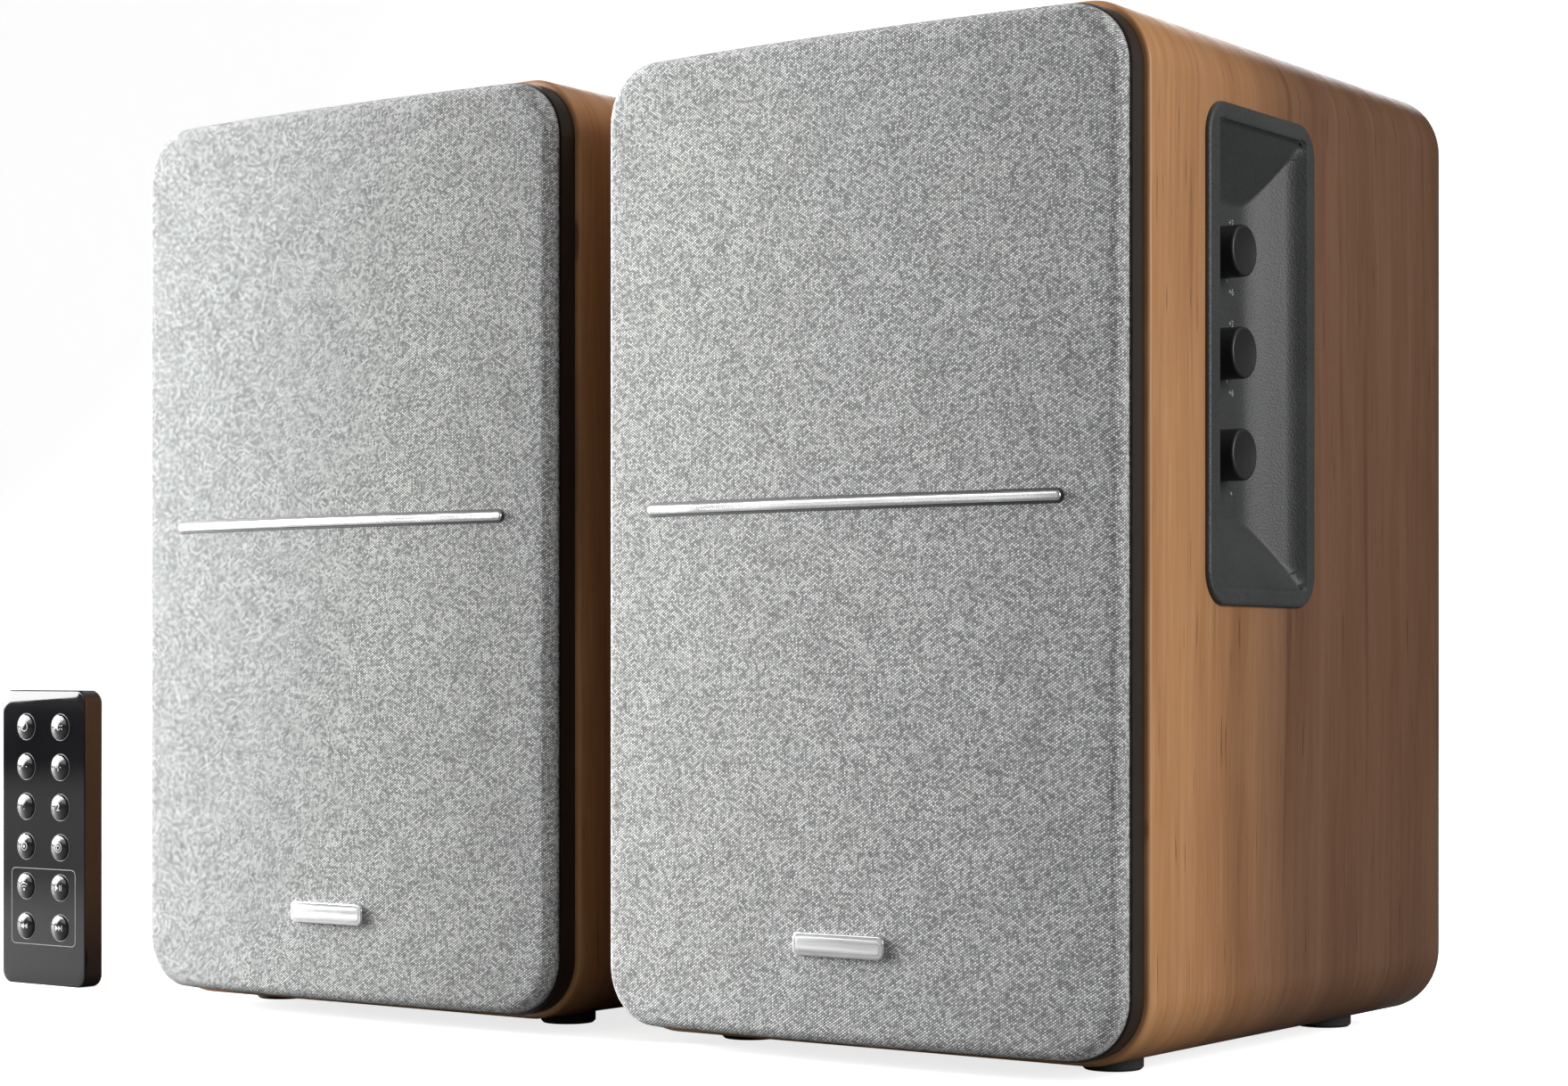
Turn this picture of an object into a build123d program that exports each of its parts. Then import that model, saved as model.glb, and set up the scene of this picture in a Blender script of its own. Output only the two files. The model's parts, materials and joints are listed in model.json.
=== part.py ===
"""A pair of powered desktop speakers with a slim remote control.

Millimetres, +Z up, fronts face -Y, the listener's right is +X. The origin is on the desk, under the
middle of the whole set. Each finished piece is written to parts/ under the name of its node.
"""

from build123d import *

import os
from math import cos, radians, sin

os.makedirs("parts", exist_ok=True)

# ---------------------------------------------------------------- driving dimensions
# cabinets: a rounded tube of veneered board, open at the front and the back
cabinet_width = 146.0
cabinet_height = 234.0
cabinet_depth = 150.0
cabinet_corner = 16.0
wall = 9.0
edge_softening = 0.8
foot_height = 3.0
foot_radius = 7.0
foot_chamfer = 0.6
foot_inset = 22.0
speaker_gap = 14.0
remote_gap = 39.0
cleat = 14.0
cleat_length = 20.0
cleat_hole_end = 1.0

# front baffle: a plug inside the tube and a dark lip in front of it
baffle_lip = 5.0
baffle_plug = 7.0
lip_inset = 1.5
board_clearance = 0.2

# grille: a bowed frame with pegs, cloth pulled over it, and one bright strip across
grille_rim = 3.0
grille_bow = 4.0
grille_rail = 8.0
grille_skin = 2.2
grille_inset = 0.6
grille_gap = 0.3
grille_bar = 10.0
grille_window_round = 6.0
grille_overcut = 1.0
cloth = 0.8
peg_radius = 2.5
peg_clearance = 0.05
peg_from_side = 8.0
peg_from_top = 12.0
peg_tip_gap = 0.6
peg_hole_spare = 0.2
strip_length = 114.0
strip_height = 2.2
strip_thickness = 0.8
strip_rise = 8.0

# drivers, measured from the middle of the cabinet and along their own axes
woofer_rise = -5.0
woofer_radius = 56.0
woofer_flange = 3.0
woofer_seat = 46.0
basket_depth = 36.0
basket_rear = 34.0
basket_sheet = 2.0
basket_window_round = 4.0
roll_radius = 3.2
roll_skin = 0.7
roll_gap = 0.4
roll_foot = 2.4
roll_foot_offset = 0.9
coil_radius = 13.1
coil_wall = 0.6
coil_gap = 0.7
coil_reach = 6.0
cone_depth = 20.0
cone_paper = 0.9
cap_lap = 3.0
cap_crown = 4.8
cap_paper = 1.0
cap_edge = 0.6
magnet_radius = 36.0
magnet_height = 22.0
magnet_plate = 4.0
magnet_clearance = 3.0
tweeter_rise = 80.0
tweeter_radius = 26.0
tweeter_flange = 3.0
tweeter_body = 17.0
tweeter_depth = 22.0
tweeter_mouth_rim = 9.0
tweeter_screw_shift = 0.5
dome_radius = 6.5
dome_crown = 0.4
dome_root = 2.4
flare_dip = 1.0
port_rise = -84.0
port_bore = 13.0
port_wall = 2.0
port_flange = 18.0
port_flange_height = 2.0
port_length = 80.0
driver_clearance = 0.3
screw_radius = 1.6
screw_length = 9.0
screw_head = 2.9
screw_head_height = 1.6
screw_clearance = 0.05
screw_hole_spare = 0.5

# control panel on the right-hand cabinet's outer side
panel_width = 52.4
panel_height = 113.4
panel_corner = 8.0
panel_proud = 1.2
panel_flange = 2.9
panel_shell = 2.0
panel_from_front = 51.0
panel_rise = 41.2
panel_clearance = 0.2
recess_width = 42.4
recess_height = 105.6
recess_depth = 10.5
recess_end_run = 16.3
recess_flat_share = 0.62
recess_lip_run = 1.4
recess_lip_drop = 3.0
knob_radius = 6.0
knob_pitch = 23.4
knob_from_front = 48.7
knob_rise = 66.3
knob_sunk = 2.5
knob_floor_gap = 0.3
knob_dot = 0.45
knob_dot_from_edge = 1.1
knob_round = 0.5
shaft_end_gap = 0.6
shaft_radius = 3.0
shaft_clearance = 0.05
pot_side = 14.0
pot_height = 8.0
pot_gap = 0.5
circuit_board = 1.6
circuit_board_corner = 2.0
control_board_inset = 12.0
control_board_rows = 3.2

# rear panel and what it carries
rear_panel = 9.0
board_behind_panel = 12.0
terminal_width = 38.0
terminal_height = 26.0
terminal_depth = 10.0
terminal_pitch = 18.0
terminal_rise = -18.0
terminal_collar = 4.0
terminal_corner = 2.0
terminal_shelf = 1.5
terminal_tail = 3.0
tab_width = 11.0
tab_clearance = 0.25
tab_length = 12.0
tab_thickness = 2.6
tab_lean = 14.0
tab_pin = 1.2
tab_hub = 2.4
tab_setback = 1.0
tab_drop = 1.0
tab_swing_gap = 0.6
wire_hole = 1.6
wire_depth = 8.0
jack_radius = 4.15
jack_bore = 1.7
jack_reach = 8.5
jack_pitch = 15.0
jack_rise = 62.0
jack_plate = 2.0
jack_flange = 13.0
jack_corner = 2.0
digital_rise = 22.0
optical_side = 9.6
optical_reach = 6.0
optical_socket = 6.4
optical_socket_corner = 1.2
optical_socket_depth = 12.0
optical_shift = 2.0
inlet_rise = -82.0
inlet_flange_width = 40.0
inlet_flange_height = 18.0
inlet_corner = 3.0
inlet_body_width = 20.0
inlet_body_height = 12.0
inlet_tail = 4.0
inlet_slot_width = 16.0
inlet_slot_height = 8.0
inlet_pin_pitch = 8.6
inlet_pin_radius = 1.15
inlet_pin_setback = 3.0
inlet_reach = 4.0
inlet_socket_depth = 12.0
switch_width = 13.0
switch_height = 21.0
switch_frame = 2.0
switch_across = 34.0
switch_tail = 3.0
rocker_clearance = 0.3
rocker_tilt = 9.0
rocker_pin = 1.4
rocker_hub = 3.0
rocker_crown = 3.4
rocker_heel = 2.0
rocker_lip = 0.6

# amplifier board and mains transformer, both inside the right-hand cabinet
amplifier_width = 96.0
amplifier_height = 84.0
heat_sink_width = 34.0
heat_sink_height = 44.0
heat_sink_base = 4.0
heat_sink_place = (-26.0, 10.0)
fin_pitch = 5.0
fin_thickness = 1.6
fin_height = 14.0
fin_count = 7
big_capacitor_radius = 9.0
big_capacitor_height = 24.0
big_capacitor_places = ((14.0, 24.0), (14.0, 2.0))
small_capacitor_radius = 4.0
small_capacitor_height = 12.0
small_capacitor_place = (34.0, 20.0)
small_capacitor_pitch = (12.0, 16.0)
core_width = 52.0
core_depth = 22.0
core_height = 44.0
core_across = 22.0
core_from_cleat = 15.0
bobbin_inset = 20.0
bobbin_overhang = 18.0
bobbin_corner = 5.0
bobbin_rise = 9.0
bobbin_height = 29.0
bracket_thickness = 1.5
bracket_overhang = 16.0
bracket_inset = 6.0
bracket_hole = 1.8
bracket_hole_overhang = 8.0

# remote control, standing on its short end with its keys towards the listener
remote_width = 35.0
remote_height = 84.0
remote_thickness = 6.9
remote_corner = 3.5
remote_set_back = 5.0
remote_wall = 1.3
remote_back_wall = 1.0
remote_back_round = 1.2
face_round = 0.4
face_plate = 0.8
key_radius = 3.5
key_flange = 4.1
key_flange_height = 0.5
key_clearance = 0.15
key_proud = 0.9
key_pitch_x = 14.4
key_pitch_z = 11.4
key_first_drop = 10.4
key_back = 1.7
key_round = 0.7
key_flange_gap = 0.1
board_front = 2.3
board_sheet = 0.6
board_margin = 0.5
board_corner = 1.5
cell_radius = 10.0
cell_height = 2.5
cell_chamfer = 0.4
cell_setback = 2.4
cell_sunk = 0.1
drawer_height = 2.7
drawer_margin = 1.6
drawer_clearance = 0.1
drawer_rise = 15.0
drawer_reach = 25.0
drawer_grip_depth = 0.8
drawer_grip_edge = 0.5
drawer_grip_end = 4.0
slot_overcut = 1.0

# ---------------------------------------------------------------- places worked out from them
grille_back = grille_gap + baffle_lip
front_stack = grille_back + grille_rim + grille_bow + cloth + strip_thickness
tab_tip = tab_length * sin(radians(tab_lean)) + tab_thickness / 2 * cos(radians(tab_lean))
rear_reach = terminal_depth - tab_hub - tab_setback + tab_tip
set_depth = front_stack + cabinet_depth + rear_reach
wood_y = -set_depth / 2 + front_stack
lip_y = wood_y - baffle_lip
rear_y = wood_y + cabinet_depth
mid_z = foot_height + cabinet_height / 2
set_width = 2 * cabinet_width + speaker_gap + remote_gap + remote_width + panel_proud
right_x = set_width / 2 - panel_proud - cabinet_width / 2
left_x = right_x - cabinet_width - speaker_gap
remote_x = -set_width / 2 + remote_width / 2
remote_y = wood_y + remote_set_back

inner_width = cabinet_width - 2 * wall
inner_height = cabinet_height - 2 * wall
inner_corner = max(cabinet_corner - wall, 1.0)
plug_width = inner_width - 2 * board_clearance
plug_height = inner_height - 2 * board_clearance
lip_width = cabinet_width - 2 * lip_inset
lip_height = cabinet_height - 2 * lip_inset
lip_corner = cabinet_corner - lip_inset
side_x = right_x + cabinet_width / 2
panel_y = wood_y + panel_from_front
panel_z = mid_z + panel_rise
knob_y = wood_y + knob_from_front
knob_x = side_x - knob_sunk
floor_x = side_x - recess_depth
pot_x = floor_x - panel_shell - pot_gap
shaft_length = knob_floor_gap + panel_shell + pot_gap + pot_height - shaft_end_gap
peg_length = baffle_lip - peg_tip_gap
board_y = rear_y - rear_panel - board_behind_panel


def front(x, y, z=mid_z):
    """Sketch plane that faces the listener: local x is X, local y is Z, extrude goes towards -Y."""
    return Plane(origin=(x, y, z), x_dir=(1, 0, 0), z_dir=(0, -1, 0))


def back(x, y, z=mid_z):
    """Sketch plane that faces the wall: local x is -X, local y is Z, extrude goes towards +Y."""
    return Plane(origin=(x, y, z), x_dir=(-1, 0, 0), z_dir=(0, 1, 0))


def outward(x, y, z):
    """Sketch plane on the right-hand side: local x is Y, local y is Z, extrude goes towards +X."""
    return Plane(origin=(x, y, z), x_dir=(0, 1, 0), z_dir=(1, 0, 0))


def turning(x, y, z):
    """Half-section plane of a turned piece on an axis along Y: local x is its radius, local y is +Y."""
    return Plane(origin=(x, y, z), x_dir=(1, 0, 0), z_dir=(0, 0, 1))


def spin_axis(x, y, z):
    """Axis along +Y through a point."""
    return Axis((x, y, z), (0, 1, 0))


def finish(name, builder):
    """Label a finished piece and write it under its node's name."""
    builder.part.label = name
    export_step(builder.part, f"parts/{name}.step")


def corner_points(width, height):
    """The four corners of a centred rectangle."""
    return [(sx * width / 2, sz * height / 2) for sx in (-1, 1) for sz in (-1, 1)]


def screw_set(plane, points):
    """Pan-head screws with their heads in front of the plane and their shanks behind it."""
    with BuildPart() as screws:
        with BuildSketch(plane):
            with Locations(*points):
                Circle(screw_head)
        extrude(amount=screw_head_height)
        with BuildSketch(plane):
            with Locations(*points):
                Circle(screw_radius)
        extrude(amount=-screw_length)
    return screws.part


# ---------------------------------------------------------------- cabinet, baffle, rear panel
cleat_points = corner_points(inner_width - cleat, inner_height - cleat)
woofer_ring = woofer_radius - screw_head
woofer_screws = [
    (woofer_ring * cos(radians(a)), woofer_rise + woofer_ring * sin(radians(a)))
    for a in (45, 135, 225, 315)
]
tweeter_ring = (tweeter_radius + tweeter_body) / 2 + tweeter_screw_shift
tweeter_screws = [
    (tweeter_ring * cos(radians(a)), tweeter_rise + tweeter_ring * sin(radians(a)))
    for a in (30, 150, 270)
]
peg_points = corner_points(lip_width - 2 * peg_from_side, lip_height - 2 * peg_from_top)


def make_cabinet(side, x):
    """Rounded board tube with four screw cleats behind its rear panel."""
    with BuildPart() as cabinet:
        with BuildSketch(front(x, wood_y)):
            RectangleRounded(cabinet_width, cabinet_height, cabinet_corner)
            RectangleRounded(inner_width, inner_height, inner_corner, mode=Mode.SUBTRACT)
        extrude(amount=-cabinet_depth)
        fillet(cabinet.faces().sort_by(Axis.Y)[0].outer_wire().edges(), edge_softening)
        fillet(cabinet.faces().sort_by(Axis.Y)[-1].outer_wire().edges(), edge_softening)
        with BuildSketch(front(x, rear_y - rear_panel)):
            with Locations(*cleat_points):
                Rectangle(cleat, cleat)
            RectangleRounded(inner_width, inner_height, inner_corner, mode=Mode.INTERSECT)
        extrude(amount=cleat_length)
        with BuildSketch(front(x, rear_y - rear_panel)):
            with Locations(*cleat_points):
                Circle(screw_radius + screw_clearance)
        extrude(amount=cleat_length - cleat_hole_end, mode=Mode.SUBTRACT)
        if side == "right":
            with BuildSketch(outward(side_x, panel_y, panel_z)):
                RectangleRounded(
                    panel_width - 2 * panel_flange + 2 * panel_clearance,
                    panel_height - 2 * panel_flange + 2 * panel_clearance,
                    panel_corner - panel_flange,
                )
            extrude(amount=-1.5 * wall, mode=Mode.SUBTRACT)
    finish(f"{side}_cabinet", cabinet)


def make_baffle(side, x):
    """Front board: lip in front of the tube, plug inside it, and rebated holes for what it carries."""
    with BuildPart(front(x, lip_y)) as baffle:
        with BuildSketch(front(x, lip_y)):
            RectangleRounded(lip_width, lip_height, lip_corner)
        extrude(amount=-baffle_lip)
        with BuildSketch(front(x, wood_y)):
            RectangleRounded(plug_width, plug_height, inner_corner - board_clearance)
        extrude(amount=-baffle_plug)
        with Locations((0, woofer_rise)):
            CounterBoreHole(
                woofer_seat + basket_sheet + driver_clearance,
                woofer_radius + driver_clearance,
                woofer_flange,
            )
        with Locations((0, tweeter_rise)):
            CounterBoreHole(
                tweeter_body + driver_clearance, tweeter_radius + driver_clearance, tweeter_flange
            )
        with Locations((0, port_rise)):
            CounterBoreHole(
                port_bore + port_wall + driver_clearance,
                port_flange + driver_clearance,
                port_flange_height,
            )
        with Locations(*peg_points):
            Hole(peg_radius + peg_clearance, depth=peg_length + peg_hole_spare)
        with Locations(*woofer_screws, *tweeter_screws):
            Hole(screw_radius + screw_clearance, depth=screw_length + screw_hole_spare)
    finish(f"{side}_front_baffle", baffle)


def make_rear_panel(side, x):
    """Rear board, let into the tube, screwed to the cleats and cut for its sockets."""
    with BuildPart(back(x, rear_y)) as panel:
        with BuildSketch(back(x, rear_y)):
            RectangleRounded(plug_width, plug_height, inner_corner - board_clearance)
        extrude(amount=-rear_panel)
        with Locations(*cleat_points):
            Hole(screw_radius + screw_clearance)
        with BuildSketch(back(x, rear_y)):
            with Locations((0, terminal_rise)):
                Rectangle(
                    terminal_width - 2 * terminal_collar + 2 * board_clearance,
                    terminal_height - 2 * terminal_collar + 2 * board_clearance,
                )
            if side == "right":
                with Locations(*jack_points):
                    Circle(jack_radius + driver_clearance)
                with Locations(optical_point):
                    Rectangle(optical_side + 2 * board_clearance, optical_side + 2 * board_clearance)
                with Locations((0, inlet_rise)):
                    Rectangle(inlet_body_width, inlet_body_height)
                with Locations((switch_across, inlet_rise)):
                    Rectangle(switch_width + 2 * board_clearance, switch_height + 2 * board_clearance)
        extrude(amount=-rear_panel, mode=Mode.SUBTRACT)
    finish(f"{side}_rear_panel", panel)


# ---------------------------------------------------------------- grille
grille_width = lip_width - 2 * grille_inset
grille_height = lip_height - 2 * grille_inset
grille_corner = lip_corner - grille_inset
frame_y = lip_y - grille_gap


def bowed_slab(x, inset, skin):
    """Slab with a flat back and a front bowed out towards the listener, its corners rounded."""
    width = grille_width - 2 * inset
    height = grille_height - 2 * inset
    edge_y = frame_y - grille_rim + skin
    bow_radius = width**2 / (8 * grille_bow) + grille_bow / 2
    with BuildPart() as slab:
        with BuildSketch(front(x, frame_y)):
            RectangleRounded(width, height, grille_corner - inset)
        extrude(amount=grille_rim + 2 * grille_bow)
        with BuildSketch(Plane.XY):
            with Locations((x, edge_y - grille_bow + bow_radius)):
                Circle(bow_radius)
        extrude(amount=foot_height + cabinet_height, mode=Mode.INTERSECT)
    return slab.part


def make_grille(side, x):
    """Bowed frame with four pegs, the cloth over its front and edges, and the bright strip."""
    outside = bowed_slab(x, 0.0, -cloth)
    core = bowed_slab(x, cloth, 0.0)
    hollow = bowed_slab(x, cloth, grille_skin)
    window_width = grille_width - 2 * (cloth + grille_rail)
    window_height = grille_height - 2 * (cloth + grille_rail)
    with BuildPart() as windows:
        with BuildSketch(front(x, frame_y + grille_overcut)):
            Rectangle(window_width, window_height)
            with Locations((0, strip_rise)):
                Rectangle(window_width, grille_bar, mode=Mode.SUBTRACT)
        extrude(amount=grille_rim + grille_bow + 4 * grille_overcut)
        fillet(windows.edges().filter_by(Axis.Y), grille_window_round)
    with BuildPart() as bar_relief:
        add(hollow)
        with BuildSketch(front(x, frame_y + grille_overcut)):
            with Locations((0, strip_rise)):
                Rectangle(window_width - 2 * grille_skin, 2 * grille_bar)
        extrude(amount=grille_rim + grille_bow + 4 * grille_overcut, mode=Mode.INTERSECT)
    with BuildPart() as frame:
        add(core)
        add(bar_relief.part, mode=Mode.SUBTRACT)
        add(windows.part, mode=Mode.SUBTRACT)
        with BuildSketch(front(x, frame_y)):
            with Locations(*peg_points):
                Circle(peg_radius)
        extrude(amount=-peg_length)
    finish(f"{side}_grille_frame", frame)

    with BuildPart() as cover:
        add(outside)
        add(core, mode=Mode.SUBTRACT)
    finish(f"{side}_grille_cloth", cover)

    strip_envelope = bowed_slab(x, 0.0, -cloth - strip_thickness)
    with BuildPart() as strip:
        with BuildSketch(front(x, frame_y)):
            with Locations((0, strip_rise)):
                SlotOverall(strip_length, strip_height)
        extrude(amount=grille_rim + grille_bow + 4 * grille_overcut)
        add(strip_envelope, mode=Mode.INTERSECT)
        add(outside, mode=Mode.SUBTRACT)
    finish(f"{side}_grille_strip", strip)


# ---------------------------------------------------------------- drivers and port
def make_woofer(side, x):
    """Basket, magnet, cone and surround of the bass driver, all turned about one axis."""
    z = mid_z + woofer_rise
    axis = spin_axis(x, lip_y, z)
    with BuildPart() as basket:
        with BuildSketch(turning(x, lip_y, z)):
            with BuildLine():
                Polyline(
                    (woofer_seat, 0),
                    (woofer_radius, 0),
                    (woofer_radius, woofer_flange),
                    (woofer_seat + basket_sheet, woofer_flange),
                    (basket_rear, basket_depth),
                    (coil_radius + coil_gap, basket_depth),
                    (coil_radius + coil_gap, basket_depth - basket_sheet),
                    (basket_rear - basket_sheet, basket_depth - basket_sheet),
                    (woofer_seat, woofer_flange),
                    close=True,
                )
            make_face()
        revolve(axis=axis)
        for turn in (0, 90, 180, 270):
            arm = (cos(radians(turn)), 0, sin(radians(turn)))
            middle = lip_y + (woofer_flange + basket_depth) / 2
            with BuildSketch(Plane(origin=(x, middle, z), x_dir=(0, 1, 0), z_dir=arm)):
                RectangleRounded(basket_depth / 2, basket_rear, basket_window_round)
            extrude(amount=woofer_radius, mode=Mode.SUBTRACT)
        with BuildSketch(front(x, lip_y)):
            with Locations(*woofer_screws):
                Circle(screw_radius + screw_clearance)
        extrude(amount=-woofer_flange, mode=Mode.SUBTRACT)
    finish(f"{side}_woofer_basket", basket)

    pole = coil_radius - coil_wall - coil_gap
    slot = coil_radius + coil_gap
    rear = basket_depth + magnet_height
    with BuildPart() as magnet:
        with BuildSketch(turning(x, lip_y, z)):
            with BuildLine():
                Polyline(
                    (0, basket_depth),
                    (pole, basket_depth),
                    (pole, rear - magnet_plate),
                    (slot + magnet_clearance, rear - magnet_plate),
                    (slot + magnet_clearance, basket_depth + magnet_plate),
                    (slot, basket_depth + magnet_plate),
                    (slot, basket_depth),
                    (basket_rear, basket_depth),
                    (basket_rear, basket_depth + magnet_plate),
                    (magnet_radius, basket_depth + magnet_plate),
                    (magnet_radius, rear - magnet_plate),
                    (basket_rear, rear - magnet_plate),
                    (basket_rear, rear),
                    (0, rear),
                    close=True,
                )
            make_face()
        revolve(axis=axis)
    finish(f"{side}_woofer_magnet", magnet)

    roll_middle = woofer_seat + basket_sheet - roll_radius
    with BuildPart() as surround:
        with BuildSketch(turning(x, lip_y, z)):
            with Locations((roll_middle, 0)):
                Circle(roll_radius)
                Circle(roll_radius - roll_skin, mode=Mode.SUBTRACT)
            with Locations((roll_middle, roll_radius)):
                Rectangle(2 * roll_radius, 2 * roll_radius, mode=Mode.SUBTRACT)
            with Locations((roll_middle + roll_radius + roll_foot_offset, -roll_skin / 2)):
                Rectangle(roll_foot, roll_skin)
        revolve(axis=axis)
    finish(f"{side}_woofer_surround", surround)

    rim = roll_middle - roll_radius - roll_gap
    coil = coil_radius - coil_wall
    cap = coil_radius + cap_lap
    slope = cone_depth / (rim - coil_radius)
    cap_foot = (rim - cap) * slope - cone_paper
    with BuildPart() as cone:
        with BuildSketch(turning(x, lip_y, z)):
            with BuildLine():
                Polyline(
                    (cap, cap_foot),
                    (rim, -cone_paper),
                    (rim, cone_paper),
                    (coil_radius, cone_depth + cone_paper),
                    (coil_radius, basket_depth + coil_reach),
                    (coil, basket_depth + coil_reach),
                    (coil, cap_foot + cap_edge),
                )
                TangentArc(
                    (0, cap_foot - cap_crown + cap_paper), (coil, cap_foot + cap_edge), tangent=(1, 0)
                )
                Line((0, cap_foot - cap_crown + cap_paper), (0, cap_foot - cap_crown))
                TangentArc((0, cap_foot - cap_crown), (cap, cap_foot), tangent=(1, 0))
            make_face()
        revolve(axis=axis)
    finish(f"{side}_woofer_cone", cone)


def make_tweeter(side, x):
    """Treble driver: round plate with a shallow flare, its dome and the motor can behind."""
    z = mid_z + tweeter_rise
    mouth = tweeter_radius - tweeter_mouth_rim
    with BuildPart() as tweeter:
        with BuildSketch(turning(x, lip_y, z)):
            with BuildLine():
                TangentArc((0, -dome_crown), (dome_radius, dome_root), tangent=(1, 0))
                ThreePointArc(
                    (dome_radius, dome_root), ((dome_radius + mouth) / 2, flare_dip), (mouth, 0)
                )
                Polyline(
                    (mouth, 0),
                    (tweeter_radius, 0),
                    (tweeter_radius, tweeter_flange),
                    (tweeter_body, tweeter_flange),
                    (tweeter_body, tweeter_depth),
                    (0, tweeter_depth),
                    (0, -dome_crown),
                )
            make_face()
        revolve(axis=spin_axis(x, lip_y, z))
        with BuildSketch(front(x, lip_y)):
            with Locations(*tweeter_screws):
                Circle(screw_radius + screw_clearance)
        extrude(amount=-tweeter_flange, mode=Mode.SUBTRACT)
    finish(f"{side}_tweeter", tweeter)


def make_port(side, x):
    """Bass reflex tube with a flange at its mouth."""
    z = mid_z + port_rise
    outer = port_bore + port_wall
    with BuildPart() as port:
        with BuildSketch(turning(x, lip_y, z)):
            with BuildLine():
                Polyline(
                    (port_bore + port_flange_height, 0),
                    (port_flange, 0),
                    (port_flange, port_flange_height),
                    (outer, port_flange_height),
                    (outer, port_length),
                    (port_bore, port_length),
                    (port_bore, port_flange_height),
                )
                ThreePointArc(
                    (port_bore, port_flange_height),
                    (port_bore + 0.3 * port_flange_height, 0.3 * port_flange_height),
                    (port_bore + port_flange_height, 0),
                )
            make_face()
        revolve(axis=spin_axis(x, lip_y, z))
    finish(f"{side}_port_tube", port)


def make_fasteners(side, x):
    """Every screw of one cabinet as separate solids, and its four rubber feet."""
    driver_screws = screw_set(front(x, lip_y), woofer_screws + tweeter_screws)
    panel_screws = screw_set(back(x, rear_y), cleat_points)
    with BuildPart() as screws:
        add(driver_screws)
        add(panel_screws)
    finish(f"{side}_screws", screws)

    across = cabinet_width / 2 - foot_inset
    along = cabinet_depth / 2 - foot_inset
    with BuildPart() as feet:
        with BuildSketch(Plane.XY):
            with Locations((x, wood_y + cabinet_depth / 2)):
                with GridLocations(2 * across, 2 * along, 2, 2):
                    Circle(foot_radius)
        extrude(amount=foot_height)
        chamfer(feet.faces().group_by(Axis.Z)[0].edges(), foot_chamfer)
    finish(f"{side}_feet", feet)


# ---------------------------------------------------------------- spring terminals
def make_terminals(side, x):
    """Push-tab wire terminals: a housing with two pockets and pins, and two tabs that pivot on them."""
    z = mid_z + terminal_rise
    pivot_y = rear_y + terminal_depth - tab_hub - tab_setback
    pivot_z = z - tab_drop
    pocket = tab_width + 2 * tab_clearance
    with BuildPart() as housing:
        with BuildSketch(back(x, rear_y, z)):
            RectangleRounded(terminal_width, terminal_height, terminal_corner)
        extrude(amount=terminal_depth)
        with BuildSketch(back(x, rear_y, z)):
            Rectangle(terminal_width - 2 * terminal_collar, terminal_height - 2 * terminal_collar)
        extrude(amount=-rear_panel - terminal_tail)
        with BuildSketch(back(x, rear_y + terminal_shelf, z)):
            with Locations(*terminal_columns):
                with Locations((0, terminal_height / 2 - tab_drop - tab_hub - tab_swing_gap)):
                    Rectangle(pocket, terminal_height)
        extrude(amount=terminal_depth, mode=Mode.SUBTRACT)
        with BuildSketch(outward(x, pivot_y, pivot_z)):
            Circle(tab_pin)
        extrude(amount=terminal_width / 2 - terminal_corner, both=True)
        with BuildSketch(back(x, rear_y + terminal_depth, z)):
            with Locations(*[(c[0], -terminal_height / 2 + terminal_collar) for c in terminal_columns]):
                Circle(wire_hole)
        extrude(amount=-wire_depth, mode=Mode.SUBTRACT)
    finish(f"{side}_terminal_block", housing)

    lean = radians(tab_lean)
    for colour, column in zip(("black", "red"), terminal_columns):
        tab_x = x - column[0]
        with BuildPart() as tab:
            with BuildSketch(outward(tab_x - tab_width / 2, pivot_y, pivot_z)):
                Circle(tab_hub)
                with BuildLine():
                    Polyline(
                        (-tab_thickness / 2 * cos(lean), tab_thickness / 2 * sin(lean)),
                        (tab_thickness / 2 * cos(lean), -tab_thickness / 2 * sin(lean)),
                        (
                            tab_length * sin(lean) + tab_thickness / 2 * cos(lean),
                            tab_length * cos(lean) - tab_thickness / 2 * sin(lean),
                        ),
                        (
                            tab_length * sin(lean) - tab_thickness / 2 * cos(lean),
                            tab_length * cos(lean) + tab_thickness / 2 * sin(lean),
                        ),
                        close=True,
                    )
                make_face()
                Circle(tab_pin + shaft_clearance, mode=Mode.SUBTRACT)
            extrude(amount=tab_width)
        finish(f"{side}_terminal_tab_{colour}", tab)


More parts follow.
